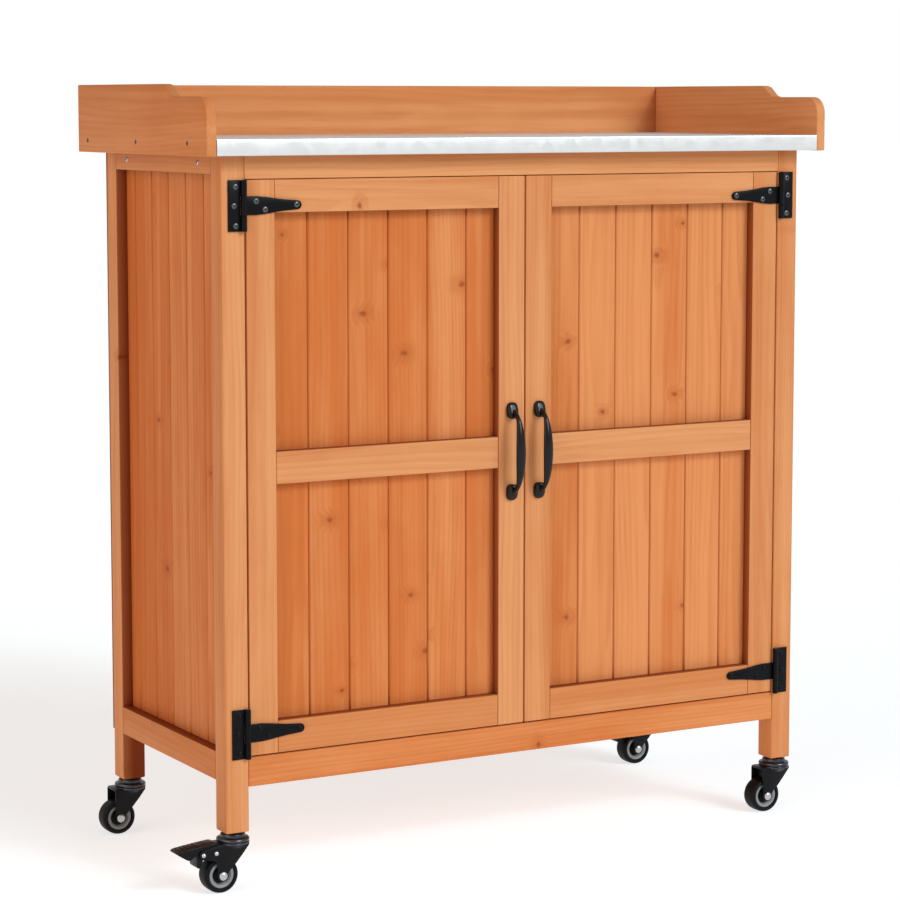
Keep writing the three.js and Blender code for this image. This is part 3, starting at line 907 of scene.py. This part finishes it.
@dataclass
class Worktop:
    """The steel sheet and the gallery round it."""

    finishes: Finishes
    fold: float = 2.0 * MM
    sheet: float = 1.0 * MM
    hem: float = 11.0 * MM
    corner: float = 25.0 * MM
    low_drop: float = 17.5 * MM
    low_length: float = 117.0 * MM
    step: float = 23.0 * MM
    blend: float = 9.0 * MM
    edge: float = 1.8 * MM
    screw_height: float = 17.0 * MM
    sink: float = 1.0 * MM

    def build(self) -> None:
        """Builds the sheet and the three gallery boards."""
        self._steel()
        for side in Side:
            self._side_board(side)
        self._back_board()

    def _steel(self) -> None:
        """The sheet, folded down at the front with a hem under the board."""
        low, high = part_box("steel_top")
        front, back, top, bottom = low[1], high[1], high[2], low[2]
        outer = arc((front + self.fold, top - self.fold), self.fold, 90.0, 180.0, 5)
        outer += arc((front + self.fold, bottom + self.fold), self.fold, 180.0, 270.0, 5)
        inner_fold = self.fold - self.sheet
        inner = arc((front + self.fold, bottom + self.fold), inner_fold, 270.0, 180.0, 4)
        inner += arc((front + self.fold, top - self.fold), inner_fold, 180.0, 90.0, 4)
        outline = [(back, top), *outer, (front + self.hem, bottom), (front + self.hem, bottom + self.sheet),
                   *inner, (back, top - self.sheet)]
        piece = Piece("worktop_sheet")
        piece.prism(outline, Axis.X, low[0], high[0], self.finishes.steel, smooth=True)
        piece.finish("cabinet", "steel_sheet", ["steel_top"])

    def _side_outline(self, low: Vector, high: Vector) -> list[Point2]:
        """Outline of a side board in Y and Z.

        Args:
            low: Lowest corner of its CAD node.
            high: Highest corner.

        Returns:
            The outline, from the front foot round by the back.
        """
        shoulder = high[2] - self.low_drop
        low_end = low[1] + self.low_length
        rise = Vector((self.step, self.low_drop)).normalized()
        foot, crest = Vector((low_end, shoulder)), Vector((low_end + self.step, high[2]))
        points = [(low[1], low[2]), (high[1], low[2]), (high[1], high[2])]
        points += [(crest.x + self.blend, crest.y), (crest.x + self.blend * 0.45, crest.y - 0.5 * MM)]
        points += [tuple(crest - rise * self.blend * 0.5), tuple(foot + rise * self.blend * 0.5)]
        points += [(foot.x - self.blend * 0.45, foot.y + 0.5 * MM), (foot.x - self.blend, foot.y)]
        points += arc((low[1] + self.corner, shoulder - self.corner), self.corner, 90.0, 180.0, 12)
        return points

    def _side_board(self, side: Side) -> None:
        """One side board: high at the back, stepped down to a rounded front corner."""
        node = f"gallery_{side.word}"
        low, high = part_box(node)
        piece = Piece(f"{node}_wood")
        made = piece.prism(self._side_outline(low, high), Axis.X, low[0], high[0], self.finishes.frame,
                           self.edge, 3)
        piece.grow(made, Axis.Y, 0.0 if side is Side.RIGHT else 0.75)
        screw = PanScrew()
        out = Vector((side.value, 0.0, 0.0))
        face = high[0] if side is Side.RIGHT else low[0]
        for share in (0.14, 0.53, 0.92):
            place = Vector((face, low[1] + (high[1] - low[1]) * share, low[2] + self.screw_height))
            screw.add(piece, place - out * self.sink, out, self.finishes.brown, self.finishes.recess)
        piece.finish("cabinet", "frame_wood", [node])

    def _back_board(self) -> None:
        """The straight board along the back."""
        low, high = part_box("gallery_back")
        piece = Piece("gallery_back_wood")
        piece.board(low, high, Axis.X, self.finishes.frame, 0.6, self.edge, 3)
        screw = PanScrew()
        out = Vector((0.0, 1.0, 0.0))
        for share in (0.06, 0.35, 0.65, 0.94):
            x = low[0] + (high[0] - low[0]) * share
            screw.add(piece, Vector((x, high[1] - self.sink, low[2] + self.screw_height)), out,
                      self.finishes.brown, self.finishes.recess)
        piece.finish("cabinet", "frame_wood", ["gallery_back"])


# ---------------------------------------------------------------------------
# Doors and hinges
# ---------------------------------------------------------------------------


@dataclass
class StrapHinge:
    """A T hinge: an upright leaf on the post and a tapered strap on the door."""

    finishes: Finishes
    radius: float = 4.25 * MM
    plate: float = 2.3 * MM
    collar: float = 24.0 * MM
    root: float = 12.8 * MM
    taper: tuple[Point2, ...] = ((34.0, 11.6), (48.0, 9.5), (62.0, 7.8))
    tip: float = 6.1 * MM
    edge: float = 0.5 * MM
    pin: float = 2.0 * MM
    pin_head: float = 0.8 * MM

    def build(self, side: Side, level: str) -> None:
        """Builds one hinge.

        Args:
            side: The door that it carries.
            level: `upper` or `lower`.
        """
        name = f"{side.word}_{level}_hinge"
        self._leaf(side, name)
        self._strap(side, name)

    def _leaf(self, side: Side, name: str) -> None:
        """The leaf, its two knuckles, the pin's ends and three screws."""
        low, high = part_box(f"{name}_leaf")
        strap_low, strap_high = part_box(f"{name}_strap")
        piece = Piece(f"{name}_leaf_plate")
        front, back = low[1], high[1]
        outer_x, inner_x = (low[0], high[0]) if side is Side.LEFT else (high[0], low[0])
        axis_x = inner_x + side.value * self.radius
        root_x = axis_x + side.value * self.radius
        axis_y = front + self.radius
        plate_low = Vector((min(outer_x, root_x), back - self.plate, low[2]))
        plate_high = Vector((max(outer_x, root_x), back, high[2]))
        piece.box(plate_low, plate_high, self.finishes.hinge, self.edge, 2)
        gap = 0.3 * MM
        for bottom, top in ((low[2], strap_low[2] - gap), (strap_high[2] + gap, high[2])):
            self._knuckle(piece, Vector((axis_x, axis_y, 0.0)), bottom, top)
            curl_low = Vector((min(axis_x, root_x), back - self.plate, bottom))
            curl_high = Vector((max(axis_x, root_x), back, top))
            piece.box(curl_low, curl_high, self.finishes.hinge, 0.2 * MM)
        for height, up in ((low[2], -1), (high[2], 1)):
            rivet = [(0.0, 0.0), (self.pin, 0.0), (self.pin, self.pin_head), (0.0, self.pin_head)]
            piece.lathe(rivet, Vector((axis_x, axis_y, height)), Vector((0, 0, up)), self.finishes.screw, 16)
        middle_x = (outer_x + root_x) / 2
        for share, offset in ((0.87, -1.0), (0.5, 1.4), (0.11, -1.0)):
            place = Vector((middle_x + side.value * (offset - 1.2) * MM, back - self.plate,
                            low[2] + share * (high[2] - low[2])))
            self._screw(piece, place, name)
        piece.finish("cabinet", "hinge_black", [f"{name}_leaf"])

    def _knuckle(self, piece: Piece, centre: Vector, bottom: float, top: float) -> None:
        """One barrel of the hinge, rolled from its plate."""
        bevel = 0.4 * MM
        profile = [(0.0, bottom), (self.radius - bevel, bottom), (self.radius, bottom + bevel),
                   (self.radius, top - bevel), (self.radius - bevel, top), (0.0, top)]
        piece.lathe(profile, centre, Vector((0, 0, 1)), self.finishes.hinge, 24)

    def _screw(self, piece: Piece, place: Vector, name: str) -> None:
        """One screw; those of the upper hinges are bright, those of the lower ones blackened."""
        head = self.finishes.screw if "upper" in name else self.finishes.hinge
        PanScrew().add(piece, place, Vector((0.0, -1.0, 0.0)), head, self.finishes.recess)

    def _strap(self, side: Side, name: str) -> None:
        """The strap, its knuckle and three screws."""
        low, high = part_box(f"{name}_strap")
        piece = Piece(f"{name}_strap_plate")
        back = high[1]
        inward = -side.value
        axis_x, end_x = high[0] - self.radius, low[0]
        if side is Side.LEFT:
            axis_x, end_x = low[0] + self.radius, high[0]
        middle = (low[2] + high[2]) / 2
        half = self.root
        length = abs(end_x - axis_x)
        taper = [(along * MM, up * MM) for along, up in reversed(self.taper)]
        upper = [*arc((length - self.tip, 0.0), self.tip, 0.0, 84.0, 6), *taper,
                 (self.collar, half - 0.2 * MM), (self.collar - 4 * MM, half), (0.0, half)]
        outline = [(axis_x + inward * along, middle - up) for along, up in reversed(upper)]
        outline += [(axis_x + inward * along, middle + up) for along, up in upper[1:]]
        piece.prism(outline, Axis.Y, back - self.plate, back, self.finishes.hinge, self.edge, 2)
        self._knuckle(piece, Vector((axis_x, low[1] + self.radius, 0.0)), low[2], high[2])
        spots = ((19.5 * MM, 6.2 * MM), (33.0 * MM, -5.6 * MM), (length - self.tip - 1.5 * MM, 0.6 * MM))
        for along, up in spots:
            self._screw(piece, Vector((axis_x + inward * along, back - self.plate, middle + up)), name)
        piece.finish(f"{side.word}_door", "hinge_black", [f"{name}_strap"])


@dataclass
class BowHandle:
    """A cast bow handle: two domed feet and a grip that is widest in the middle."""

    finishes: Finishes
    foot: tuple[float, float, float] = (8.9 * MM, 12.0 * MM, 8.6 * MM)
    squareness: float = 0.72
    lean: float = 0.42
    neck: tuple[float, float] = (3.3 * MM, 3.2 * MM)
    swell: tuple[float, float] = (4.3 * MM, 1.2 * MM)
    seat_depth: float = 4.0 * MM
    neck_rise: float = 0.62
    flatness: float = 10.0

    def build(self, side: Side) -> None:
        """Builds the handle of one door."""
        node = f"{side.word}_door_handle"
        low, high = (Vector(corner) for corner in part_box(node))
        piece = Piece(f"{node}_bow")
        middle = Vector(((low.x + high.x) / 2, high.y, (low.z + high.z) / 2))
        span = (high.z - low.z) / 2 - self.foot[1]
        reach = high.y - low.y - self.neck[1] - self.swell[1]
        for sign in (-1.0, 1.0):
            self._foot(piece, middle + Vector((0.0, 0.0, sign * span)), sign)
        steps = 48
        rings = [self._ring(middle, reach, span, 2.0 * index / steps - 1.0) for index in range(steps + 1)]
        piece.loft(rings, self.finishes.handle, 24)
        piece.finish(f"{side.word}_door", "handle_black", [node])

    def _foot(self, piece: Piece, place: Vector, sign: float) -> None:
        """One foot, domed and leaning towards the grip.

        Args:
            piece: The piece that it joins.
            place: The middle of its seat on the door.
            sign: One for the upper foot, minus one for the lower.
        """
        angles = [math.radians(90.0 * index / 10) for index in range(10)]
        dome = [(math.cos(angle) ** 0.6, 0.42 + 0.58 * math.sin(angle)) for angle in angles]
        profile = [(0.0, 0.0), (0.97, 0.0), *dome, (0.0, 1.0)]
        made = piece.lathe(profile, Vector((0, 0, 0)), Vector((0, -1, 0)), self.finishes.handle, 40)
        width, height, depth = self.foot
        for vertex in made:
            x, y, z = vertex.co
            swell = math.hypot(x, z) ** (1.0 - self.squareness)
            x = math.copysign(abs(x) ** self.squareness * swell, x)
            z = math.copysign(abs(z) ** self.squareness * swell, z)
            vertex.co = place + Vector((x * width, y * depth * (1.0 - sign * self.lean * z), z * height))

    def _path(self, reach: float, span: float, share: float) -> tuple[float, float]:
        """How far from the door and how high above the middle the grip runs.

        Args:
            reach: Distance of its middle line from the door at mid height.
            span: Height of the upper foot above the middle.
            share: Place along it, from minus one to one.

        Returns:
            Distance from the door and height above the middle.
        """
        height = math.sin(math.pi / 2 * share)
        rise = self.neck_rise * (1.0 - abs(height) ** self.flatness)
        rise += (1.0 - self.neck_rise) * (1.0 - height * height)
        return self.seat_depth + (reach - self.seat_depth) * rise, span * height

    def _ring(self, middle: Vector, reach: float, span: float, share: float) -> Matrix:
        """Where one ring of the grip stands.

        Args:
            middle: The handle's middle on the door.
            reach: Distance of the grip's middle line from the door at mid height.
            span: Height of the upper foot above the middle.
            share: Place along the grip, from minus one to one.

        Returns:
            The matrix of a unit circle there.
        """
        near = 0.01
        out, up = self._path(reach, span, share)
        before = self._path(reach, span, max(-1.0, share - near))
        after = self._path(reach, span, min(1.0, share + near))
        along = Vector((0.0, before[0] - after[0], after[1] - before[1])).normalized()
        turn = Vector((0, 0, 1)).rotation_difference(along).to_matrix().to_4x4()
        fullness = max(0.0, 1.0 - (up / (0.82 * span)) ** 2)
        width, depth = (neck + swell * fullness for neck, swell in zip(self.neck, self.swell))
        moved = Matrix.Translation(middle + Vector((0.0, -out, up)))
        return moved @ turn @ Matrix.Diagonal((width, depth, 1, 1))


@dataclass
class Doors:
    """The two framed plank doors."""

    finishes: Finishes
    woodwork: Woodwork
    first: float = 57.0
    pitch: float = 63.25
    recess: float = 15.5 * MM

    def build(self) -> None:
        """Builds both doors with their hinges and handles."""
        joints = [self.first + self.pitch * index for index in range(5)]
        for side in Side:
            body = f"{side.word}_door"
            for part, way in (("hinge_stile", -side.value), ("meeting_stile", side.value)):
                self._member(f"{body}_{part}", Axis.Z, body, (way, 0.0, 0.0))
            rails = (("top_rail", -1.0, 0.35), ("mid_rail", 1.0, 0.1), ("bottom_rail", 1.0, 0.8))
            for part, way, tone in rails:
                self._member(f"{body}_{part}", Axis.X, body, (0.0, 0.0, way), tone)
            tones = (0.35, 1.0) if side is Side.LEFT else (0.0, 0.6)
            self.woodwork.planks(f"{body}_panel", Axis.X, joints, body, "panel_planks",
                                 self.finishes.plank, tones)
            for level in ("upper", "lower"):
                StrapHinge(self.finishes).build(side, level)
            BowHandle(self.finishes).build(side)

    def _member(self, node: str, along: Axis, body: str, facing: tuple[float, float, float],
                tone: Optional[float] = None) -> None:
        """One stile or rail of a door, with painted shade where it looks into the panel's recess.

        Args:
            node: The CAD node.
            along: The axis that its grain follows.
            body: The door's CAD body.
            facing: The way towards the panel.
            tone: Its tone, or None for one of its own.
        """
        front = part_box(node)[0][1]
        recess = Recess(facing, Axis.Y, front, front + self.recess)
        self.woodwork.single(node, along, body, "door_wood", self.finishes.frame, recess=recess, tone=tone)


# ---------------------------------------------------------------------------
# Casters
# ---------------------------------------------------------------------------


@dataclass
class Caster:
    """A swivel caster that trails towards -X, with or without a brake.

    Its sizes are in millimetres, and places on it are given from its swivel axis at floor height.
    """

    finishes: Finishes
    place: str
    braked: bool
    trail: float = 22.5
    wheel_radius: float = 25.75
    half_width: float = 13.1
    race: float = 23.4
    cheek_inner: float = 14.25
    cheek_outer: float = 16.5
    boss: float = 8.0
    pivot: Point2 = (-51.5, 58.5)
    eye: float = 6.5
    pedal_half: float = 13.4
    ribs: int = 5
    rib_pitch: float = 6.2
    rib_half: float = 10.8
    centre: Vector = field(init=False)

    def __post_init__(self) -> None:
        """Finds the swivel axis from the CAD stem."""
        low, high = (Vector(corner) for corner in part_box(f"caster_{self.place}_stem"))
        self.centre = Vector(((low.x + high.x) / 2, (low.y + high.y) / 2, 0.0))

    def build(self) -> None:
        """Builds the caster's pieces."""
        self._stem()
        self._fork()
        self._wheel()
        if self.braked:
            self._brake()

    def _at(self, x: float, y: float, z: float) -> Vector:
        """A place on the caster."""
        return self.centre + Vector((x, y, z)) * MM

    def _turned(self, piece: Piece, profile: Sequence[Point2], finish: bpy.types.Material,
                steps: int = 40, foot: Optional[Vector] = None, axis: Vector = Vector((0, 0, 1))) -> None:
        """Adds a turned shape.

        Args:
            piece: The piece that it joins.
            profile: Radius and height pairs.
            finish: Its finish.
            steps: Steps round the axis.
            foot: Where height zero is, or None for the swivel axis at floor height.
            axis: Direction of growing height.
        """
        points = [(radius * MM, height * MM) for radius, height in profile]
        piece.lathe(points, self.centre if foot is None else foot, axis, finish, steps)

    def _hexagon(self, piece: Piece, middle: Point2, radius: float, axis: Axis, start: float,
                 end: float) -> None:
        """Adds a nut.

        Args:
            piece: The piece that it joins.
            middle: Its middle in the two row axes across its own.
            radius: Half of its width over corners.
            axis: Its axis.
            start: Where it starts on that axis.
            end: Where it ends.
        """
        corners = arc(middle, radius * MM, 0.0, 300.0, 5)
        piece.prism(corners, axis, start, end, self.finishes.zinc, 0.4 * MM, 2)

    def _stem(self) -> None:
        """The threaded stem, its nut, and the cap of the ball race."""
        piece = Piece(f"caster_{self.place}_stem_and_cap")
        self._turned(piece, [(0, 109.5), (3.6, 109.5), (4.6, 108.0), (4.6, 83.0), (0, 83.0)],
                     self.finishes.zinc, 24)
        self._hexagon(piece, (self.centre.x, self.centre.y), 9.0, Axis.Z, 81.5 * MM, 83.7 * MM)
        cap = [(0, 81.8), (15.6, 81.8), (17.2, 81.0), (17.7, 79.4), (17.7, 77.4), (18.4, 76.7), (20.6, 76.4),
               (22.2, 75.7), (23.1, 74.6), (self.race, 73.2), (23.2, 71.9), (22.4, 71.05), (0, 71.05)]
        self._turned(piece, cap, self.finishes.dark_zinc, 48)
        piece.finish("cabinet", "caster_zinc", [f"caster_{self.place}_stem"])

    def _cheek_outline(self) -> list[Point2]:
        """Outline of a fork cheek in X and Z."""
        axle = (-self.trail, self.wheel_radius)
        heel = -self.trail - self.boss
        points = [(18.0, 69.4), (17.6, 65.6), (8.0, 53.5), (-1.5, 42.5), (-10.0, 34.0)]
        points += arc(axle, self.boss, 20.0, -180.0, 18)
        if self.braked:
            pivot_z = self.pivot[1]
            points += [(heel, pivot_z - 18.0), (heel - 1.6, pivot_z - 13.4), (heel - 5.5, pivot_z - 10.2)]
            points += arc(self.pivot, self.eye, -80.0, -262.0, 12)
            points += [(heel - 4.0, 68.6), (heel + 4.0, 69.6)]
        else:
            points += [(heel, 66.0), (heel + 1.0, 68.6), (heel + 3.4, 69.6)]
        return points

    def _fork(self) -> None:
        """The fork: crown, two cheeks, ball race, axle bolt and its nut."""
        piece = Piece(f"caster_{self.place}_fork_body")
        outline = [(self.centre.x + x * MM, z * MM) for x, z in self._cheek_outline()]
        for sign in (-1, 1):
            faces = sorted((self.centre.y + sign * self.cheek_inner * MM,
                            self.centre.y + sign * self.cheek_outer * MM))
            piece.prism(outline, Axis.Y, faces[0], faces[1], self.finishes.fork, 0.6 * MM, 2)
        crown = [(0, 70.7), (22.0, 70.7), (23.0, 70.1), (self.race, 69.0), (23.0, 67.6), (21.0, 66.2),
                 (18.0, 61.8), (15.6, 60.2), (0, 60.0)]
        self._turned(piece, crown, self.finishes.dark_zinc, 48)
        heel = -self.trail - self.boss
        piece.box(self._at(heel, -self.cheek_inner - 1.0, 66.6), self._at(0.0, self.cheek_inner + 1.0, 69.6),
                  self.finishes.fork, 0.8 * MM, 2)
        self._axle(piece)
        if self.braked:
            self._rivets(piece)
        piece.finish(f"{self.place}_swivel", "caster_black", [f"caster_{self.place}_fork"])

    def _axle(self, piece: Piece) -> None:
        """The axle, with a round bolt head on the front and a nut behind."""
        axle = self._at(-self.trail, 0.0, self.wheel_radius)
        outer = self.cheek_outer
        forward = Vector((0, -1, 0))
        self._turned(piece, [(0, -outer), (2.9, -outer), (2.9, outer), (0, outer)], self.finishes.zinc, 20,
                     axle, forward)
        head = [(0, outer + 3.2), (3.2, outer + 3.1), (5.0, outer + 2.5), (6.0, outer + 1.4), (6.1, outer),
                (0, outer)]
        self._turned(piece, head, self.finishes.zinc, 28, axle, forward)
        self._hexagon(piece, (axle.x, axle.z), 5.6, Axis.Y, self.centre.y + outer * MM,
                      self.centre.y + (outer + 3.6) * MM)

    def _rivets(self, piece: Piece) -> None:
        """The bright rivets of the brake, on both cheeks."""
        dome = [(0, 1.8), (1.7, 1.6), (2.9, 0.9), (3.3, 0.0), (0, 0.0)]
        for x, z in (self.pivot, (-32.0, 58.8)):
            for sign in (-1, 1):
                self._turned(piece, dome, self.finishes.zinc, 20, self._at(x, sign * self.cheek_outer, z),
                             Vector((0, sign, 0)))

    def _wheel(self) -> None:
        """The tyre, the grey rim on both sides and the dark dust caps."""
        piece = Piece(f"caster_{self.place}_tyre_and_hub")
        axle = self._at(-self.trail, 0.0, self.wheel_radius)
        forward = Vector((0, -1, 0))
        radius, half = self.wheel_radius, self.half_width
        shoulder = [(18.8, 0.0), (18.8, half - 1.6), (19.6, half - 0.5), (21.6, half - 0.1),
                    (23.4, half - 0.7), (24.8, half - 2.2), (25.5, half - 4.6), (radius, half - 8.0),
                    (radius, 0.0)]
        rim = [(3.4, 0.0), (3.4, 6.0), (11.6, 6.0), (12.4, 6.8), (13.2, 9.2), (14.2, 10.6), (16.0, 11.2),
               (18.0, 11.0), (18.8, 10.2), (18.8, 0.0)]
        for profile, finish in ((shoulder, self.finishes.rubber), (rim, self.finishes.hub)):
            mirrored = [(out, -along) for out, along in profile[::-1][1:]]
            self._turned(piece, [*profile, *mirrored], finish, 56, axle, forward)
        cap = [(3.5, 9.6), (7.4, 9.6), (8.2, 9.0), (8.8, 7.0), (12.2, 6.4), (12.2, 5.6), (3.5, 5.6),
               (3.5, 9.6)]
        for way in (-1, 1):
            self._turned(piece, cap, self.finishes.rubber, 40, axle, Vector((0, way, 0)))
        piece.finish(f"{self.place}_wheel", "wheel_rubber", [f"caster_{self.place}_wheel"])

    def _brake(self) -> None:
        """The foot pedal, with ribs on its tread and the shoe beside the tyre."""
        piece = Piece(f"caster_{self.place}_pedal")
        lever = [(-27.4, 64.2), (-27.4, 70.6), (-29.0, 72.2), (-33.0, 72.8), (-46.0, 71.8), (-60.0, 70.2),
                 (-76.0, 68.3), (-86.0, 66.8), (-89.6, 65.2), (-89.4, 63.2), (-86.0, 60.8), (-75.0, 53.8),
                 (-71.6, 52.7), (-69.4, 52.8), (-66.6, 54.6), (-63.4, 57.2), (-61.2, 56.0), (-60.2, 51.0),
                 (-60.2, 42.4), (-58.4, 39.9), (-55.4, 40.2), (-53.0, 45.0), (-51.6, 50.4), (-46.6, 54.2),
                 (-38.5, 56.2)]
        outline = [(self.centre.x + x * MM, z * MM) for x, z in lever]
        half = self.pedal_half * MM
        piece.prism(outline, Axis.Y, self.centre.y - half, self.centre.y + half, self.finishes.fork,
                    1.0 * MM, 3)
        for index in range(self.ribs):
            x = -58.0 - self.rib_pitch * index
            z = 70.4 - 0.12 * (self.rib_pitch * index)
            piece.box(self._at(x - 1.1, -self.rib_half, z - 1.6), self._at(x + 1.1, self.rib_half, z + 0.9),
                      self.finishes.fork, 0.5 * MM, 2)
        piece.finish(f"{self.place}_brake", "caster_black", [f"caster_{self.place}_brake_pedal"])


# ---------------------------------------------------------------------------
# Small fittings
# ---------------------------------------------------------------------------


@dataclass
class Fittings:
    """Screws of the side top rails, and the magnetic catches behind the doors."""

    finishes: Finishes
    screw_offset: float = 124.0

    def build(self) -> None:
        """Builds the fittings."""
        self._frame_bolts()
        for side in Side:
            self._catch(side)

    def _frame_bolts(self) -> None:
        """Bright screws through the side top rails, two on each side."""
        piece = Piece("frame_bolts")
        screw = PanScrew(radius=3.8 * MM, height=1.6 * MM)
        for side in Side:
            out = Vector((side.value, 0.0, 0.0))
            low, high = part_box(f"{side.word}_side_top_rail")
            face = high[0] if side is Side.RIGHT else low[0]
            middle, height = (low[1] + high[1]) / 2, (low[2] + high[2]) / 2 + 1.5 * MM
            for sign in (-1, 1):
                place = Vector((face, middle + sign * self.screw_offset * MM, height))
                screw.add(piece, place, out, self.finishes.zinc, self.finishes.recess)
        piece.finish("cabinet", "caster_zinc")

    def _catch(self, side: Side) -> None:
        """A magnetic catch under the top rail, and its strike plate on the door."""
        rail_low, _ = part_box("front_top_rail")
        stile_low, stile_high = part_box(f"{side.word}_door_meeting_stile")
        middle = (stile_low[0] + stile_high[0]) / 2
        door_back = stile_high[1]
        magnet = Piece(f"{side.word}_door_catch")
        top = rail_low[2]
        magnet.box(Vector((middle - 22 * MM, door_back + 0.6 * MM, top - 14 * MM)),
                   Vector((middle + 22 * MM, door_back + 13 * MM, top)), self.finishes.fork, 1.0 * MM, 3)
        magnet.finish("cabinet", "hinge_black")
        strike = Piece(f"{side.word}_door_strike")
        strike.box(Vector((middle - 16 * MM, door_back - 0.6 * MM, top - 13 * MM)),
                   Vector((middle + 16 * MM, door_back + 0.3 * MM, top - 3 * MM)), self.finishes.zinc,
                   0.2 * MM)
        strike.finish(f"{side.word}_door", "caster_zinc")


# ---------------------------------------------------------------------------
# Studio
# ---------------------------------------------------------------------------


@dataclass(frozen=True)
class Lamp:
    """A distant lamp: its power, colour, spread, turn from the front towards the right, and rise."""

    name: str
    power: float
    colour: Colour
    spread: float
    turn: float
    rise: float

    def build(self) -> None:
        """Adds the lamp to the scene."""
        light = bpy.data.lights.new(self.name, "SUN")
        light.energy = self.power
        light.color = self.colour
        light.angle = math.radians(self.spread)
        made = bpy.data.objects.new(self.name, light)
        made.rotation_euler = (math.radians(90.0 - self.rise), 0.0, math.radians(self.turn))
        bpy.context.scene.collection.objects.link(made)


@dataclass
class Studio:
    """A pale floor, soft light and the camera."""

    floor_size: float = 240.0
    floor_colour: Colour = (0.53, 0.62, 0.67)
    floor_glow: float = 0.68
    sheen: float = 0.6
    ambient: Colour = (0.15, 0.11, 0.09)
    lamps: tuple[Lamp, ...] = (Lamp("key", 1.82, (0.85, 0.945, 1.0), 34.0, 23.0, 30.0),
                               Lamp("glint", 0.42, (0.87, 0.955, 1.0), 7.0, 23.0, 36.0),
                               Lamp("fill", 1.12, (1.0, 0.72, 0.58), 60.0, -75.0, 25.0))
    camera_place: tuple[float, float, float] = (-2.0655, -3.6836, 1.0957)
    heading: float = 29.367
    pitch: float = 6.153
    lens: float = 112.84
    rise: float = -0.05

    def build(self) -> None:
        """Builds the studio."""
        bpy.context.scene.view_settings.view_transform = "Standard"
        self._floor()
        self._world()
        for lamp in self.lamps:
            lamp.build()
        self._camera()

    def _floor(self) -> None:
        """The floor: a lit white table with a faint mottle."""
        sheet = bmesh.new()
        bmesh.ops.create_grid(sheet, x_segments=1, y_segments=1, size=self.floor_size / 2)
        data = bpy.data.meshes.new("studio_floor")
        sheet.to_mesh(data)
        sheet.free()
        graph = Graph("studio_floor")
        mottle = graph.noise(graph.place(), 3.0)
        dim = tuple(0.96 * part for part in self.floor_colour)
        graph.set(Base_Color=graph.mix(mottle * 0.5, self.floor_colour, dim))
        graph.set(Roughness=0.9, Specular_IOR_Level=0.05)
        graph.set(Emission_Color=(1.0, 1.0, 1.0), Emission_Strength=self.floor_glow)
        data.materials.append(graph.material)
        made = bpy.data.objects.new("studio_floor", data)
        bpy.context.scene.collection.objects.link(made)

    def _world(self) -> None:
        """Surroundings that look white, reflect as pale grey and give a softer, warmer light."""
        world = bpy.data.worlds.new("studio")
        world.use_nodes = True
        tree = world.node_tree
        tree.nodes["Background"].inputs["Color"].default_value = (*self.ambient, 1.0)
        white = tree.nodes.new("ShaderNodeBackground")
        white.inputs["Color"].default_value = (1.0, 1.0, 1.0, 1.0)
        path = tree.nodes.new("ShaderNodeLightPath")
        share = tree.nodes.new("ShaderNodeMath")
        share.operation = "MULTIPLY_ADD"
        share.inputs[1].default_value = self.sheen
        mixed = tree.nodes.new("ShaderNodeMixShader")
        tree.links.new(path.outputs["Is Glossy Ray"], share.inputs[0])
        tree.links.new(path.outputs["Is Camera Ray"], share.inputs[2])
        tree.links.new(share.outputs[0], mixed.inputs[0])
        tree.links.new(tree.nodes["Background"].outputs[0], mixed.inputs[1])
        tree.links.new(white.outputs[0], mixed.inputs[2])
        tree.links.new(mixed.outputs[0], tree.nodes["World Output"].inputs["Surface"])
        bpy.context.scene.world = world

    def _camera(self) -> None:
        """A long lens from the front left."""
        camera = bpy.data.cameras.new("camera")
        camera.sensor_width = 36.0
        camera.lens = self.lens
        camera.shift_y = self.rise
        camera.clip_end = 200.0
        made = bpy.data.objects.new("camera", camera)
        made.location = self.camera_place
        made.rotation_euler = (math.radians(90.0 - self.pitch), 0.0, math.radians(-self.heading))
        bpy.context.scene.collection.objects.link(made)
        bpy.context.scene.camera = made


# ---------------------------------------------------------------------------


def main() -> None:
    """Builds the bench and the studio in order."""
    logging.basicConfig(level=logging.INFO, format="%(name)s: %(message)s")
    Studio().build()
    finishes = Finishes()
    woodwork = Woodwork(finishes)
    woodwork.build()
    Worktop(finishes).build()
    Doors(finishes, woodwork).build()
    for place, braked in (("front_left", True), ("front_right", False), ("back_left", False),
                          ("back_right", True)):
        Caster(finishes, place, braked).build()
    Fittings(finishes).build()


if __name__ == "__main__":
    main()
